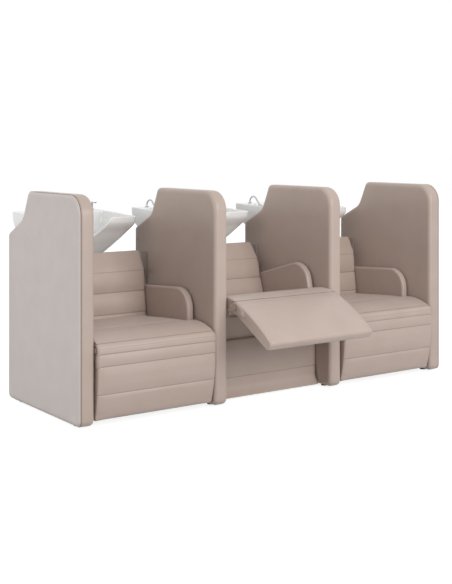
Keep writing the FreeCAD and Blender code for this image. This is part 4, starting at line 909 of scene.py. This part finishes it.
def makeBasins(form):
    # one closed skin: up the outside, over the lip, down the bowl; the lip dips into the neck notch in front
    outer, inner = basinLoops(form, 0.0), basinLoops(form, form["wall"])
    count = outer.shape[1]
    x, y = outer[0, :, 0], outer[0, :, 1]
    atFront = y < form["front"] + form["neckBand"]
    sidePower, topPower = form["neckPowers"]
    across = np.clip(np.abs(x) / form["neckHalf"], 0, 1)
    dip = np.where(atFront, form["neckDepth"] * (1 - across ** sidePower) ** topPower, 0.0)
    soft = np.hanning(9) / np.hanning(9).sum()
    dip = np.convolve(np.concatenate([dip[-4:], dip, dip[:4]]), soft, "valid")
    lipDrop = (dip + form["lip"]) / form["drop"]
    rise = np.linspace(1, 0, 40)[:, None]
    outside = atDrop(outer, lipDrop + (1 - lipDrop) * rise)
    innerDrop = (dip + form["lip"]) / (form["drop"] - form["wall"])
    inside = atDrop(inner, innerDrop + (1 - innerDrop) * rise[::-1])
    first, second = outside[-1], inside[0]
    middle, reach = (first + second) / 2, (second - first) / 2
    width = np.linalg.norm(reach, axis=1)
    power = 2 * np.maximum(width / form["lip"], 1)
    s = -np.cos(np.linspace(0, math.pi, 15))[1:-1]
    up = form["lip"] * np.sqrt(np.clip(1 - np.abs(s)[:, None] ** power, 0, 1))
    lip = middle + reach * s[:, None, None]
    lip[..., 2] += up
    foot = outside[0].mean(axis=0)
    floor = inside[-1].mean(axis=0)
    shares = np.array([0.3, 0.7, 0.95])[:, None, None]
    under = foot + (outside[0] - foot) * shares
    bowlFloor = floor + (inside[-1] - floor) * shares[::-1]
    rings = np.concatenate([under, outside, lip, inside, bowlFloor])
    points, faces = closeEnds(rings.reshape(-1, 3), ringFaces(len(rings), count), len(rings), count)
    for bay in bays:
        obj = makeMesh(f"{bay}_basin_glazed", toRow(points, bay), faces)
        finishPiece(obj, glaze, f"{bay}_bowl", f"{bay}_basin", smooth=0)


makeBasins(basinForm)
print("basins done")

# floor, light and camera

stageLook = dict(size=30.0, floor=(0.34, 0.34, 0.34), glow=0.86, worldStrength=0.77)


def seenRays(nodes, links):  # 1 for camera, mirrored and see-through rays, else 0
    path = nodes.new("ShaderNodeLightPath")
    seen = path.outputs["Is Camera Ray"]
    for kind in ("Is Glossy Ray", "Is Transmission Ray"):
        most = nodes.new("ShaderNodeMath")
        most.operation = "MAXIMUM"
        links.new(seen, most.inputs[0])
        links.new(path.outputs[kind], most.inputs[1])
        seen = most.outputs[0]
    return seen


def makeStage(look):
    half = look["size"] / 2
    mesh = bpy.data.meshes.new("floorSheet")
    corners = [(-half, -half, 0), (half, -half, 0), (half, half, 0), (-half, half, 0)]
    mesh.from_pydata(corners, [], [(0, 1, 2, 3)])
    obj = bpy.data.objects.new("floorSheet", mesh)
    bpy.context.collection.objects.link(obj)
    mat, nodes, links, shader = newMaterial("paleFloor", look["floor"], 0.9)
    shader.inputs["Specular IOR Level"].default_value = 0.0
    glow = nodes.new("ShaderNodeMath")
    glow.operation = "MULTIPLY"
    glow.inputs[1].default_value = look["glow"]
    links.new(seenRays(nodes, links), glow.inputs[0])
    shader.inputs["Emission Color"].default_value = (1, 1, 1, 1)
    links.new(glow.outputs[0], shader.inputs["Emission Strength"])
    mesh.materials.append(mat)

    world = bpy.data.worlds.new("studioWorld")
    bpy.context.scene.world = world
    world.use_nodes = True
    nodes, links = world.node_tree.nodes, world.node_tree.links
    back = nodes["Background"]
    back.inputs["Color"].default_value = (1, 1, 1, 1)
    level = nodes.new("ShaderNodeMapRange")
    level.inputs["To Min"].default_value = look["worldStrength"]
    level.inputs["To Max"].default_value = 1.0
    links.new(seenRays(nodes, links), level.inputs["Value"])
    links.new(level.outputs["Result"], back.inputs["Strength"])


lampLook = dict(key=dict(place=(0.5, -6.4, 2.6), aim=(0, 0, 0.5), size=3.0, power=215.0),
                side=dict(place=(-6.0, 0.2, 1.6), aim=(-1.3, 0, 0.6), size=2.0, power=75.0))


def makeLamps(look):
    for name, one in look.items():
        data = bpy.data.lights.new(name + "Lamp", "AREA")
        data.energy = one["power"]
        data.size = one["size"]
        obj = bpy.data.objects.new(name + "Lamp", data)
        obj.location = one["place"]
        obj.rotation_euler = (Vector(one["aim"]) - Vector(one["place"])).to_track_quat("-Z", "Y").to_euler()
        bpy.context.collection.objects.link(obj)


cameraLook = dict(place=(-4.014, -5.567, 1.489), yaw=35.25, focal=68.37, shiftY=-0.2546)


def makeCamera(look):
    data = bpy.data.cameras.new("photoCamera")
    data.lens = look["focal"]
    data.sensor_width = 36.0
    data.shift_y = look["shiftY"]
    data.clip_end = 100.0
    obj = bpy.data.objects.new("photoCamera", data)
    obj.location = look["place"]
    obj.rotation_euler = (math.pi / 2, 0.0, -math.radians(look["yaw"]))
    bpy.context.collection.objects.link(obj)
    bpy.context.scene.camera = obj


makeStage(stageLook)
makeLamps(lampLook)
makeCamera(cameraLook)
bpy.context.scene.view_settings.view_transform = "Standard"

print("scene ready")
